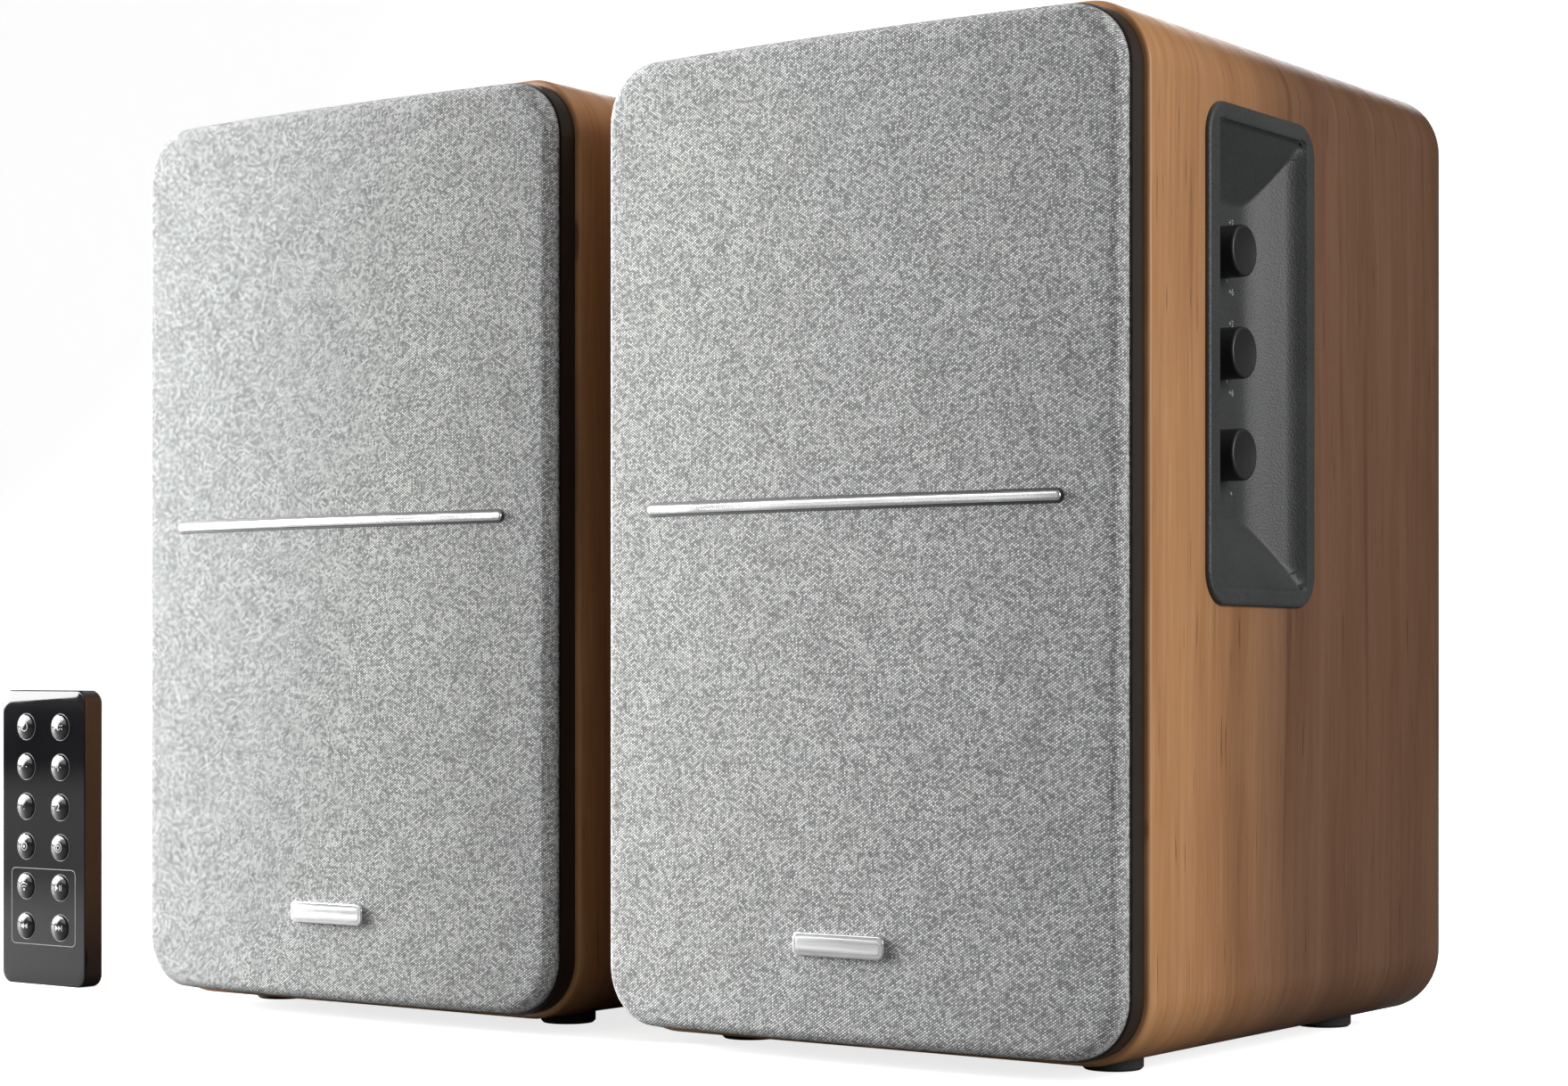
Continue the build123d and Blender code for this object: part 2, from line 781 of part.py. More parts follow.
# ---------------------------------------------------------------- control panel and knobs
def make_control_panel():
    """Moulded bezel and tub: a recess whose floor climbs to the rear rim between two sloping ends."""
    rim_front = -recess_width / 2
    rim_rear = recess_width / 2
    flat_end = rim_front + recess_flat_share * recess_width
    slope_run = rim_rear - recess_lip_run - flat_end
    with BuildPart() as recess:
        with BuildSketch(Plane.XY.offset(panel_z - recess_height / 2)):
            with BuildLine(Plane(origin=(side_x, panel_y, 0), x_dir=(0, 1, 0), z_dir=(0, 0, -1))):
                Polyline(
                    (rim_rear - recess_lip_run, -recess_lip_drop),
                    (rim_rear, 0),
                    (rim_rear, 2 * panel_proud),
                    (rim_front, 2 * panel_proud),
                    (rim_front, -recess_depth),
                    (flat_end, -recess_depth),
                )
                Bezier(
                    (flat_end, -recess_depth),
                    (flat_end + 0.4 * slope_run, -recess_depth),
                    (rim_rear - recess_lip_run - 0.3 * slope_run, -recess_lip_drop - 0.22 * slope_run),
                    (rim_rear - recess_lip_run, -recess_lip_drop),
                )
            make_face()
        extrude(amount=recess_height)
        with BuildSketch(front(side_x, panel_y + recess_width / 2, panel_z)):
            with BuildLine():
                Polyline(
                    (2 * panel_proud, recess_height / 2),
                    (0, recess_height / 2),
                    (-recess_depth, recess_height / 2 - recess_end_run),
                    (-recess_depth, -recess_height / 2 + recess_end_run),
                    (0, -recess_height / 2),
                    (2 * panel_proud, -recess_height / 2),
                    close=True,
                )
            make_face()
        extrude(amount=recess_width, mode=Mode.INTERSECT)
    with BuildPart() as panel:
        with BuildSketch(outward(side_x, panel_y, panel_z)):
            RectangleRounded(panel_width, panel_height, panel_corner)
        extrude(amount=panel_proud)
        fillet(panel.faces().sort_by(Axis.X)[-1].edges(), edge_softening)
        with BuildSketch(outward(side_x, panel_y, panel_z)):
            RectangleRounded(
                panel_width - 2 * panel_flange,
                panel_height - 2 * panel_flange,
                panel_corner - panel_flange - panel_clearance,
            )
        extrude(amount=-recess_depth - panel_shell)
        add(recess.part, mode=Mode.SUBTRACT)
        with BuildSketch(outward(floor_x, knob_y, mid_z + knob_rise)):
            with Locations(*knob_rows):
                Circle(shaft_radius + 4 * shaft_clearance)
        extrude(amount=-2 * panel_shell, mode=Mode.SUBTRACT)
    finish("control_panel", panel)


def make_knob(name, drop, dot_angle):
    """Plain round knob and its shaft in one turned piece, with a pointer dot near the rim."""
    z = mid_z + knob_rise + drop
    length = recess_depth - knob_sunk - knob_floor_gap
    with BuildPart() as knob:
        with BuildSketch(outward(knob_x, knob_y, z)):
            Circle(knob_radius)
        extrude(amount=-length)
        fillet(knob.faces().sort_by(Axis.X)[-1].edges(), knob_round)
        with BuildSketch(outward(knob_x - length, knob_y, z)):
            Circle(shaft_radius)
        extrude(amount=-shaft_length)
        if dot_angle is not None:
            reach = knob_radius - knob_dot_from_edge
            with BuildSketch(outward(knob_x, knob_y, z)):
                with Locations((reach * cos(radians(dot_angle)), reach * sin(radians(dot_angle)))):
                    Circle(knob_dot)
            extrude(amount=-knob_dot, mode=Mode.SUBTRACT)
    finish(name, knob)


def make_control_board():
    """Small board behind the panel with three potentiometer bodies that the knob shafts turn in."""
    rows = [(0, drop) for drop in knob_drops]
    with BuildPart() as board:
        with BuildSketch(outward(pot_x, knob_y, mid_z + knob_rise)):
            with Locations(*rows):
                Rectangle(pot_side, pot_side)
        extrude(amount=-pot_height)
        with BuildSketch(outward(pot_x - pot_height, knob_y, mid_z + knob_rise - knob_pitch)):
            RectangleRounded(
                recess_width - control_board_inset, control_board_rows * knob_pitch, circuit_board_corner
            )
        extrude(amount=-circuit_board)
        with BuildSketch(outward(pot_x, knob_y, mid_z + knob_rise)):
            with Locations(*rows):
                Circle(shaft_radius + shaft_clearance)
        extrude(amount=-pot_height, mode=Mode.SUBTRACT)
    finish("control_board", board)


# ---------------------------------------------------------------- amplifier and rear sockets
def make_amplifier():
    """Main circuit board upright behind the rear panel, with a finned heat sink and capacitors."""
    z = mid_z + (jack_rise + digital_rise) / 2
    parts_y = board_y - circuit_board
    with BuildPart() as board:
        with BuildSketch(front(right_x, board_y, z)):
            Rectangle(amplifier_width, amplifier_height)
        extrude(amount=circuit_board)
        with BuildSketch(front(right_x, parts_y, z)):
            with Locations(heat_sink_place):
                Rectangle(heat_sink_width, heat_sink_height)
        extrude(amount=heat_sink_base)
        with BuildSketch(front(right_x, parts_y - heat_sink_base, z)):
            with Locations(heat_sink_place):
                with GridLocations(fin_pitch, 0, fin_count, 1):
                    Rectangle(fin_thickness, heat_sink_height)
        extrude(amount=fin_height)
        with BuildSketch(front(right_x, parts_y, z)):
            with Locations(*big_capacitor_places):
                Circle(big_capacitor_radius)
        extrude(amount=big_capacitor_height)
        with BuildSketch(front(right_x, parts_y, z)):
            with Locations(small_capacitor_place):
                with GridLocations(*small_capacitor_pitch, 2, 3):
                    Circle(small_capacitor_radius)
        extrude(amount=small_capacitor_height)
    finish("amplifier_board", board)


def make_transformer():
    """Mains transformer on the cabinet floor: laminated core, bobbin with two windings, mounting feet."""
    y = rear_y - rear_panel - cleat_length - core_from_cleat
    x = right_x - core_across
    floor_z = foot_height + wall
    with BuildPart() as transformer:
        with BuildSketch(Plane.XY.offset(floor_z + bracket_thickness)):
            with Locations((x, y)):
                Rectangle(core_width, core_depth)
        extrude(amount=core_height)
        with BuildSketch(Plane.XY.offset(floor_z + bobbin_rise)):
            with Locations((x, y)):
                RectangleRounded(core_width - bobbin_inset, core_depth + bobbin_overhang, bobbin_corner)
        extrude(amount=bobbin_height)
        with BuildSketch(Plane.XY.offset(floor_z)):
            with Locations((x, y)):
                Rectangle(core_width + bracket_overhang, core_depth - bracket_inset)
            with Locations((x, y)):
                with GridLocations(core_width + bracket_hole_overhang, 0, 2, 1):
                    Circle(bracket_hole, mode=Mode.SUBTRACT)
        extrude(amount=bracket_thickness)
    finish("transformer", transformer)


def make_rear_sockets():
    """Rear sockets as separate solids: five jacks, optical socket, mains inlet and switch housing."""
    switch_opening = (switch_width - 2 * switch_frame, switch_height - 2 * switch_frame)
    with BuildPart() as sockets:
        with BuildSketch(back(right_x, board_y, mid_z)):
            with Locations(*jack_points):
                Circle(jack_radius)
        extrude(amount=rear_y + jack_reach - board_y)
        with BuildSketch(back(right_x, rear_y, mid_z)):
            with Locations(*jack_points):
                RectangleRounded(jack_flange, jack_flange, jack_corner)
        extrude(amount=jack_plate)
        with BuildSketch(back(right_x, rear_y + jack_reach, mid_z)):
            with Locations(*jack_points):
                Circle(jack_bore)
        extrude(amount=-jack_reach, mode=Mode.SUBTRACT)

        with BuildSketch(back(right_x, board_y, mid_z)):
            with Locations(optical_point):
                Rectangle(optical_side, optical_side)
        extrude(amount=rear_y + optical_reach - board_y)
        with BuildSketch(back(right_x, rear_y + optical_reach, mid_z)):
            with Locations(optical_point):
                RectangleRounded(optical_socket, optical_socket, optical_socket_corner)
        extrude(amount=-optical_socket_depth, mode=Mode.SUBTRACT)

        with BuildSketch(back(right_x, rear_y, mid_z)):
            with Locations((0, inlet_rise)):
                RectangleRounded(inlet_flange_width, inlet_flange_height, inlet_corner)
        extrude(amount=inlet_reach)
        with BuildSketch(back(right_x, rear_y, mid_z)):
            with Locations((0, inlet_rise)):
                Rectangle(
                    inlet_body_width - 2 * board_clearance, inlet_body_height - 2 * board_clearance
                )
        extrude(amount=-rear_panel - inlet_tail)
        with BuildSketch(back(right_x, rear_y + inlet_reach, mid_z)):
            with Locations((0, inlet_rise)):
                SlotOverall(inlet_slot_width, inlet_slot_height)
        extrude(amount=-inlet_socket_depth, mode=Mode.SUBTRACT)
        with BuildSketch(back(right_x, rear_y + inlet_reach - inlet_socket_depth, mid_z)):
            with Locations((0, inlet_rise)):
                with GridLocations(inlet_pin_pitch, 0, 2, 1):
                    Circle(inlet_pin_radius)
        extrude(amount=inlet_socket_depth - inlet_pin_setback)

        with BuildSketch(back(right_x, rear_y, mid_z)):
            with Locations((switch_across, inlet_rise)):
                Rectangle(switch_width + 2 * switch_frame, switch_height + 2 * switch_frame)
                Rectangle(*switch_opening, mode=Mode.SUBTRACT)
        extrude(amount=switch_frame)
        with BuildSketch(back(right_x, rear_y, mid_z)):
            with Locations((switch_across, inlet_rise)):
                Rectangle(switch_width, switch_height)
                Rectangle(*switch_opening, mode=Mode.SUBTRACT)
        extrude(amount=-rear_panel - switch_tail)
        with BuildSketch(outward(rocker_x, rear_y, mid_z + inlet_rise)):
            Circle(rocker_pin)
        extrude(amount=switch_width / 2, both=True)
    finish("rear_sockets", sockets)


def make_power_switch():
    """Rocker on its pin, resting with the lower half pushed in."""
    half = switch_height / 2 - switch_frame - rocker_clearance
    width = switch_width - 2 * switch_frame - 2 * rocker_clearance
    tilt = radians(rocker_tilt)
    with BuildPart() as rocker:
        with BuildSketch(outward(rocker_x - width / 2, rear_y, mid_z + inlet_rise)):
            Circle(rocker_hub)
            with BuildLine():
                Polyline(
                    (-rocker_heel * cos(tilt), -0.45 * half),
                    (rocker_crown - half * sin(2 * tilt) / 2, -half * cos(tilt) + 0.4),
                    (rocker_crown, 0),
                    (rocker_crown + rocker_lip, half * cos(tilt) - 0.8),
                    (-rocker_lip, half * cos(tilt) - 1.6),
                    (-rocker_heel * cos(tilt), 0.45 * half),
                    close=True,
                )
            make_face()
            Circle(rocker_pin + shaft_clearance, mode=Mode.SUBTRACT)
        extrude(amount=width)
    finish("power_switch", rocker)


# ---------------------------------------------------------------- remote control
def key_centre(column, row):
    """World X and Z of a key, from the remote's upper edge."""
    return remote_x + (column - 0.5) * key_pitch_x, remote_height - key_first_drop - row * key_pitch_z


def make_remote():
    """Case, glossy face, circuit board, coin-cell drawer and the twelve keys."""
    middle = remote_height / 2
    key_points = [
        (key_centre(c, r)[0] - remote_x, key_centre(c, r)[1] - middle) for r in range(6) for c in range(2)
    ]
    back_y = remote_y + remote_thickness
    cavity_back = back_y - remote_back_wall
    drawer_y = cavity_back - drawer_clearance - drawer_height
    drawer_wide = 2 * cell_radius + 2 * drawer_margin
    left_edge = remote_x - remote_width / 2
    inner_w = remote_width - 2 * remote_wall
    inner_h = remote_height - 2 * remote_wall
    with BuildPart() as case:
        with BuildSketch(back(remote_x, remote_y + face_plate, middle)):
            RectangleRounded(remote_width, remote_height, remote_corner)
        extrude(amount=remote_thickness - face_plate)
        fillet(case.faces().sort_by(Axis.Y)[-1].edges(), remote_back_round)
        with BuildSketch(back(remote_x, remote_y + face_plate, middle)):
            RectangleRounded(inner_w, inner_h, remote_corner - remote_wall)
        extrude(amount=remote_thickness - face_plate - remote_back_wall, mode=Mode.SUBTRACT)
        with BuildSketch(outward(left_edge - slot_overcut, drawer_y + drawer_height / 2, drawer_rise)):
            Rectangle(drawer_height + 2 * drawer_clearance, drawer_wide + 2 * drawer_clearance)
        extrude(amount=remote_wall + 1.5 * slot_overcut, mode=Mode.SUBTRACT)
    finish("remote_case", case)

    with BuildPart() as face:
        with BuildSketch(front(remote_x, remote_y + face_plate, middle)):
            RectangleRounded(remote_width, remote_height, remote_corner)
            with Locations(*key_points):
                Circle(key_radius + key_clearance, mode=Mode.SUBTRACT)
        extrude(amount=face_plate)
        fillet(face.faces().sort_by(Axis.Y)[0].outer_wire().edges(), face_round)
    finish("remote_face", face)

    with BuildPart() as board:
        with BuildSketch(front(remote_x, remote_y + board_front + board_sheet, middle)):
            RectangleRounded(inner_w - 2 * board_margin, inner_h - 2 * board_margin, board_corner)
        extrude(amount=board_sheet)
    finish("remote_board", board)

    cell_x = left_edge + cell_setback + cell_radius
    with BuildPart() as drawer:
        with BuildSketch(front(left_edge + drawer_reach / 2, drawer_y + drawer_height, drawer_rise)):
            Rectangle(drawer_reach, drawer_wide)
            with Locations((cell_x - left_edge - drawer_reach / 2, 0)):
                Circle(cell_radius + drawer_clearance, mode=Mode.SUBTRACT)
        extrude(amount=drawer_height)
        with BuildSketch(outward(left_edge, drawer_y + drawer_height / 2, drawer_rise)):
            Rectangle(drawer_height - 2 * drawer_grip_edge, drawer_wide - 2 * drawer_grip_end)
        extrude(amount=drawer_grip_depth, mode=Mode.SUBTRACT)
    finish("battery_drawer", drawer)

    with BuildPart() as cell:
        with BuildSketch(front(cell_x, drawer_y + drawer_height - cell_sunk, drawer_rise)):
            Circle(cell_radius)
        extrude(amount=cell_height)
        chamfer(cell.faces().sort_by(Axis.Y)[0].edges(), cell_chamfer)
    finish("coin_cell", cell)

    for index, name in enumerate(key_names):
        x, z = key_centre(index % 2, index // 2)
        with BuildPart() as key:
            with BuildSketch(front(x, remote_y + key_back, z)):
                Circle(key_radius)
            extrude(amount=key_back + key_proud)
            fillet(key.faces().sort_by(Axis.Y)[0].edges(), key_round)
            with BuildSketch(front(x, remote_y + face_plate + key_flange_gap + key_flange_height, z)):
                Circle(key_flange)
            extrude(amount=key_flange_height)
        finish(f"key_{name}", key)


# ---------------------------------------------------------------- shared points, then every piece
terminal_columns = [(-terminal_pitch / 2, 0), (terminal_pitch / 2, 0)]
coaxial_point = (-jack_pitch / 2, digital_rise)
jack_points = [(sx * jack_pitch / 2, jack_rise + sz * jack_pitch / 2) for sx in (-1, 1) for sz in (-1, 1)]
jack_points.append(coaxial_point)
optical_point = (jack_pitch / 2 + optical_shift, digital_rise)
rocker_x = right_x - switch_across
knob_drops = [0.0, -knob_pitch, -2 * knob_pitch]
knob_rows = [(0, drop) for drop in knob_drops]
key_names = (
    "power", "mute", "volume_down", "volume_up", "input_1", "input_2",
    "optical", "coaxial", "wireless", "play", "previous", "next",
)

for side, x in (("left", left_x), ("right", right_x)):
    make_cabinet(side, x)
    make_baffle(side, x)
    make_rear_panel(side, x)
    make_grille(side, x)
    make_woofer(side, x)
    make_tweeter(side, x)
    make_port(side, x)
    make_fasteners(side, x)
    make_terminals(side, x)

make_control_panel()
make_knob("treble_knob", knob_drops[0], 30)
make_knob("bass_knob", knob_drops[1], 30)
make_knob("volume_knob", knob_drops[2], None)
make_control_board()
make_amplifier()
make_transformer()
make_rear_sockets()
make_power_switch()
make_remote()
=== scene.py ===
# %% [markdown]
# # A pair of powered bookshelf speakers and their remote
#
# The finished set is two wood-wrapped cabinets with bowed cloth grilles, a moulded control panel with
# three knobs on the outer side of the right-hand cabinet, and a slim glossy remote. The engineering
# model is loaded first as a fixed frame: it says where every piece is and how it moves. This lesson
# then gives each piece its finished surface, and builds a finer piece where the plain one isn't enough.
#
# The fixed frame has to load before anything else, so that every later size can be read from it.

# %% Load the frame
import json
import math
import random

import bmesh
import bpy
from mathutils import Matrix, Vector

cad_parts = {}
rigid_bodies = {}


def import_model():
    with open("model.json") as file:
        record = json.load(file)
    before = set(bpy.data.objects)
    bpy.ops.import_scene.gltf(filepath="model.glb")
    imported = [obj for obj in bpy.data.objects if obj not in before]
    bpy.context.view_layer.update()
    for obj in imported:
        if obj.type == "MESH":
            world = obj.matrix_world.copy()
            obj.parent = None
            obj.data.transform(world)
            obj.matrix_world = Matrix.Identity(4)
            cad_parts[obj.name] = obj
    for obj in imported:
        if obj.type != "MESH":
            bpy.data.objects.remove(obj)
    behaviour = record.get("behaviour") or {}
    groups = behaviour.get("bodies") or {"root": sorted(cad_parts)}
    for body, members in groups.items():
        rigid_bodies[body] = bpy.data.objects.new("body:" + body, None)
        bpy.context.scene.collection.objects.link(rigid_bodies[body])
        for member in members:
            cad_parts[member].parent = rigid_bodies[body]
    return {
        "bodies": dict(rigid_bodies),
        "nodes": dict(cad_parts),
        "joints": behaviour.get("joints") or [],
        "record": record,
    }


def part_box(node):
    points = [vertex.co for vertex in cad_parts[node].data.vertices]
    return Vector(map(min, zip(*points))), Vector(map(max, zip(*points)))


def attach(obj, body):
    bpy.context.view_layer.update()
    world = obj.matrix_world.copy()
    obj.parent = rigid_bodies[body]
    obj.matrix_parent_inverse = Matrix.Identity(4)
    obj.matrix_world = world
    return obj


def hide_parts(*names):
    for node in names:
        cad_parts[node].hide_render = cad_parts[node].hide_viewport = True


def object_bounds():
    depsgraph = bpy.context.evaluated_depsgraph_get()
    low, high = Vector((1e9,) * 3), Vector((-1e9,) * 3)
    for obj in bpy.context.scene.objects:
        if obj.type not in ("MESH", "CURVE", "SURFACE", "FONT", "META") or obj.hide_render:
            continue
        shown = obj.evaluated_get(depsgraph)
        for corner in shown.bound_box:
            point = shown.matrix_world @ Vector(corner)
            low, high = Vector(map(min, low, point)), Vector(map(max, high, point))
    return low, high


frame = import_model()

cad_low, cad_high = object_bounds()
MM = 0.001
nodes = frame["nodes"]
joints = {j["name"]: j for j in frame["joints"]}
SIDES = {"left": "passive_speaker", "right": "active_speaker"}

# %% [markdown]
# ## Camera, floor and light
#
# Small boxes look right through a long lens that stands close to desk height. The camera here is
# level, so that upright edges stay parallel, and the lens is shifted up a little instead of tilted.
# A shift keeps the verticals true, which tilting can't do.

# %% Camera
cabinet_low, cabinet_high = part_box("right_cabinet")
cabinet_middle = (cabinet_low + cabinet_high) / 2
wood_front = cabinet_low.y

view_turn = math.radians(35.93)
stand = Vector((cabinet_middle.x + 0.4081, wood_front - 0.5975, 0.091))
camera_data = bpy.data.cameras.new("camera")
camera_data.lens = 72.2
camera_data.sensor_width = 36.0
camera_data.shift_y = 0.0784
camera_data.clip_start = 0.01
camera = bpy.data.objects.new("camera", camera_data)
camera.location = stand
camera.rotation_euler = (math.radians(90), 0, view_turn)
bpy.context.scene.collection.objects.link(camera)
bpy.context.scene.camera = camera
print("camera at", tuple(round(v, 3) for v in stand))

# %% [markdown]
# A sweep of pale floor that curls up behind the set gives a background with no horizon. It is one
# strip of mesh bent round a quarter circle, wide enough that its ends are never seen.

# %% Mesh helpers
def link(obj):
    """Put a new object in the scene."""
    bpy.context.scene.collection.objects.link(obj)
    return obj


def mesh_piece(name, points, faces, smooth=True):
    """A new mesh object from points in metres and faces as index lists, with its normals outward."""
    mesh = bpy.data.meshes.new(name)
    mesh.from_pydata([tuple(p) for p in points], [], faces)
    shell = bmesh.new()
    shell.from_mesh(mesh)
    bmesh.ops.recalc_face_normals(shell, faces=shell.faces)
    shell.to_mesh(mesh)
    shell.free()
    mesh.polygons.foreach_set("use_smooth", [smooth] * len(mesh.polygons))
    mesh.update()
    return link(bpy.data.objects.new(name, mesh))


def grid_faces(rows, columns, closed=False, start=0):
    """Quads between successive rows of points; closed joins the last column to the first."""
    spans = columns if closed else columns - 1
    faces = []
    for r in range(rows - 1):
        for c in range(spans):
            a = start + r * columns + c
            b = start + r * columns + (c + 1) % columns
            faces.append((a, b, b + columns, a + columns))
    return faces


# %% Floor
floor_half = 6.0
FLOOR_GLOW = 0.78
curl = 1.5
profile = [(-3.0, 0.0), (2.2, 0.0)]
for step in range(1, 17):
    turn = math.radians(90) * step / 16
    profile.append((2.2 + curl * math.sin(turn), curl * (1 - math.cos(turn))))
profile.append((2.2 + curl, 6.0))
away = Vector((-math.sin(view_turn), math.cos(view_turn), 0))
across = Vector((math.cos(view_turn), math.sin(view_turn), 0))
sweep_points = []
for forward, height in profile:
    for side in (-floor_half, floor_half):
        sweep_points.append(away * forward + across * side + Vector((0, 0, height)))
floor = mesh_piece("floor_sweep", sweep_points, grid_faces(len(profile), 2))
floor_white = bpy.data.materials.new("floor_white")
floor_white.use_nodes = True
floor_tree = floor_white.node_tree
paper = floor_tree.nodes["Principled BSDF"]
paper.inputs["Roughness"].default_value = 0.6
paper.inputs["Emission Color"].default_value = (1, 1, 1, 1)
seen = floor_tree.nodes.new("ShaderNodeLightPath").outputs["Is Camera Ray"]
glow = floor_tree.nodes.new("ShaderNodeMath")
glow.operation = "MULTIPLY"
floor_tree.links.new(seen, glow.inputs[0])
glow.inputs[1].default_value = FLOOR_GLOW
floor_tree.links.new(glow.outputs[0], paper.inputs["Emission Strength"])
desk = floor_tree.nodes.new("ShaderNodeMix")
desk.data_type = "RGBA"
floor_tree.links.new(seen, desk.inputs[0])
desk.inputs[6].default_value = (0.10, 0.10, 0.10, 1)
desk.inputs[7].default_value = (0.88, 0.88, 0.88, 1)
floor_tree.links.new(desk.outputs[2], paper.inputs["Base Color"])
floor.data.materials.append(floor_white)
print("floor strip points", len(sweep_points))

# %% [markdown]
# The light comes from large soft panels. The main one stands far to the left, so it rakes over the
# bowed cloth, which is bright on its left and falls away to the right. Raking light also shows the weave.
# A second panel lights the wooden side squarely and misses the cloth. A weak overhead one draws the thin
# highlight along the top edges, and one behind keeps the rear panel readable. A small tilted card near
# the remote lights nothing: it only shows as the slanted reflection that makes its face read as gloss.
#
# The world is white where the camera sees it and dim as a light, so that the room stays clean without
# washing out the shadows. The floor does the same with a little glow of its own, and all but the
# camera see it as a dark desk top, so that little light bounces back up.

# %% Lights
def panel_light(name, place, target, size, power, tint=(1, 1, 1)):
    """A rectangular soft light that faces a target point."""
    data = bpy.data.lights.new(name, "AREA")
    data.shape = "RECTANGLE"
    data.size, data.size_y = size
    data.energy = power
    data.color = tint
    lamp = link(bpy.data.objects.new(name, data))
    lamp.location = place
    lamp.rotation_euler = (Vector(target) - Vector(place)).to_track_quat("-Z", "Y").to_euler()
    return lamp


set_middle = (cad_low + cad_high) / 2
panel_light("key_light", (-1.9, -0.49, 0.60), set_middle, (0.6, 1.0), 142.0)
panel_light("fill_light", (-0.9, -1.7, 0.7), set_middle, (0.8, 0.8), 5.0)
panel_light("side_light", (1.15, -0.05, 0.42), (cabinet_high.x, -0.02, 0.13), (0.5, 0.7), 9.6)
panel_light("top_light", (0.2, 0.35, 1.7), set_middle, (1.6, 1.2), 6.0)
panel_light("rear_light", (-0.9, 1.9, 0.9), set_middle, (1.2, 0.9), 16.0)
gloss_card = panel_light("gloss_card", (-0.51, -0.335, 0.232), (-0.173, -0.0685, 0.078), (0.24, 0.36), 4.0)
gloss_card.rotation_euler.rotate_axis("Z", math.radians(-50))
gloss_card.visible_diffuse = False

world = bpy.data.worlds.new("studio")
bpy.context.scene.world = world
world.use_nodes = True
studio = world.node_tree
seen = studio.nodes.new("ShaderNodeLightPath").outputs["Is Camera Ray"]
dimmed = studio.nodes.new("ShaderNodeMapRange")
studio.links.new(seen, dimmed.inputs["Value"])
dimmed.inputs["To Min"].default_value = 0.20
dimmed.inputs["To Max"].default_value = 1.12
studio.links.new(dimmed.outputs[0], studio.nodes["Background"].inputs["Strength"])
studio.nodes["Background"].inputs["Color"].default_value = (1.0, 1.0, 1.0, 1)
bpy.context.scene.view_settings.view_transform = "Standard"

# %% [markdown]
# ## Short words for shader nodes
#
# Every finish below is a tree of nodes. Two small helpers keep the cells readable: `add_node` makes one
# node and fills its sockets with numbers or links, and `finish_tree` starts a material and gives back
# its tree and its Principled shader.

# %% Node helpers
def add_node(tree, kind, sockets=None, **settings):
    """One node. A socket value that is itself a socket becomes a link."""
    made = tree.nodes.new(kind)
    for key, value in settings.items():
        setattr(made, key, value)
    for key, value in (sockets or {}).items():
        if isinstance(value, bpy.types.NodeSocket):
            tree.links.new(value, made.inputs[key])
        else:
            made.inputs[key].default_value = value
    return made


def calc(tree, operation, a, b=0.0, clamp=False):
    """A Math node's result."""
    return add_node(tree, "ShaderNodeMath", {0: a, 1: b}, operation=operation, use_clamp=clamp).outputs[0]


def blend_colours(tree, share, first, second):
    """Two colours mixed by a share."""
    return add_node(tree, "ShaderNodeMix", {0: share, 6: first, 7: second}, data_type="RGBA").outputs[2]


def stretch(tree, value, low, high, out_low=0.0, out_high=1.0):
    """A value mapped from one range to another and kept inside it."""
    names = {"Value": value, "From Min": low, "From Max": high, "To Min": out_low, "To Max": out_high}
    return add_node(tree, "ShaderNodeMapRange", names).outputs[0]


def finish_tree(name):
    """A new node material: its tree and its Principled shader."""
    material = bpy.data.materials.new(name)
    material.use_nodes = True
    return material, material.node_tree, material.node_tree.nodes["Principled BSDF"]


def start_group(name, wants, gives):
    """A node group with named float, colour or vector sockets: its tree, inputs and output node."""
    kinds = {"float": "NodeSocketFloat", "colour": "NodeSocketColor", "vector": "NodeSocketVector"}
    tree = bpy.data.node_groups.new(name, "ShaderNodeTree")
    for label, kind, default in wants:
        socket = tree.interface.new_socket(label, in_out="INPUT", socket_type=kinds[kind])
        socket.default_value = default
    for label, kind in gives:
        tree.interface.new_socket(label, in_out="OUTPUT", socket_type=kinds[kind])
    inside = tree.nodes.new("NodeGroupInput").outputs
    outside = tree.nodes.new("NodeGroupOutput")
    return tree, inside, outside


def use_group(tree, group, sockets):
    """Place a node group in a material and give back its outputs."""
    made = add_node(tree, "ShaderNodeGroup", node_tree=group)
    for key, value in sockets.items():
        if isinstance(value, bpy.types.NodeSocket):
            tree.links.new(value, made.inputs[key])
        else:
            made.inputs[key].default_value = value
    return made.outputs


def paint(obj, *materials):
    """Give an object its material slots."""
    obj.data.materials.clear()
    for material in materials:
        obj.data.materials.append(material)


# %% [markdown]
# ## Shared effect: moulded grain
#
# Moulded plastic isn't smooth. Its tool is etched, which leaves a fine pebbled grain, and hands leave a
# faint unevenness in the shine. Both are the same on every plastic piece apart from their size and
# strength, so they are one node group. It gives a height for bump, a shade for the colour and a
# roughness that changes slowly over the surface.

# %% Moulded grain group
grain_tree, given, result = start_group(
    "moulded_grain",
    [("Grain per metre", "float", 1500.0), ("Shade", "float", 0.15), ("Roughness", "float", 0.5)],
    [("Height", "float"), ("Shade", "float"), ("Roughness", "float")],
)
place = add_node(grain_tree, "ShaderNodeTexCoord").outputs["Object"]
pebble_size = {"Vector": place, "Scale": given["Grain per metre"]}
pebbles = add_node(grain_tree, "ShaderNodeTexVoronoi", pebble_size, feature="SMOOTH_F1").outputs["Distance"]
dust = add_node(
    grain_tree, "ShaderNodeTexNoise", {"Vector": place, "Scale": given["Grain per metre"], "Detail": 2.0}
).outputs["Fac"]
handling = add_node(
    grain_tree, "ShaderNodeTexNoise", {"Vector": place, "Scale": 35.0, "Detail": 4.0, "Roughness": 0.6}
).outputs["Fac"]
height = calc(grain_tree, "ADD", pebbles, calc(grain_tree, "MULTIPLY", dust, 0.6))
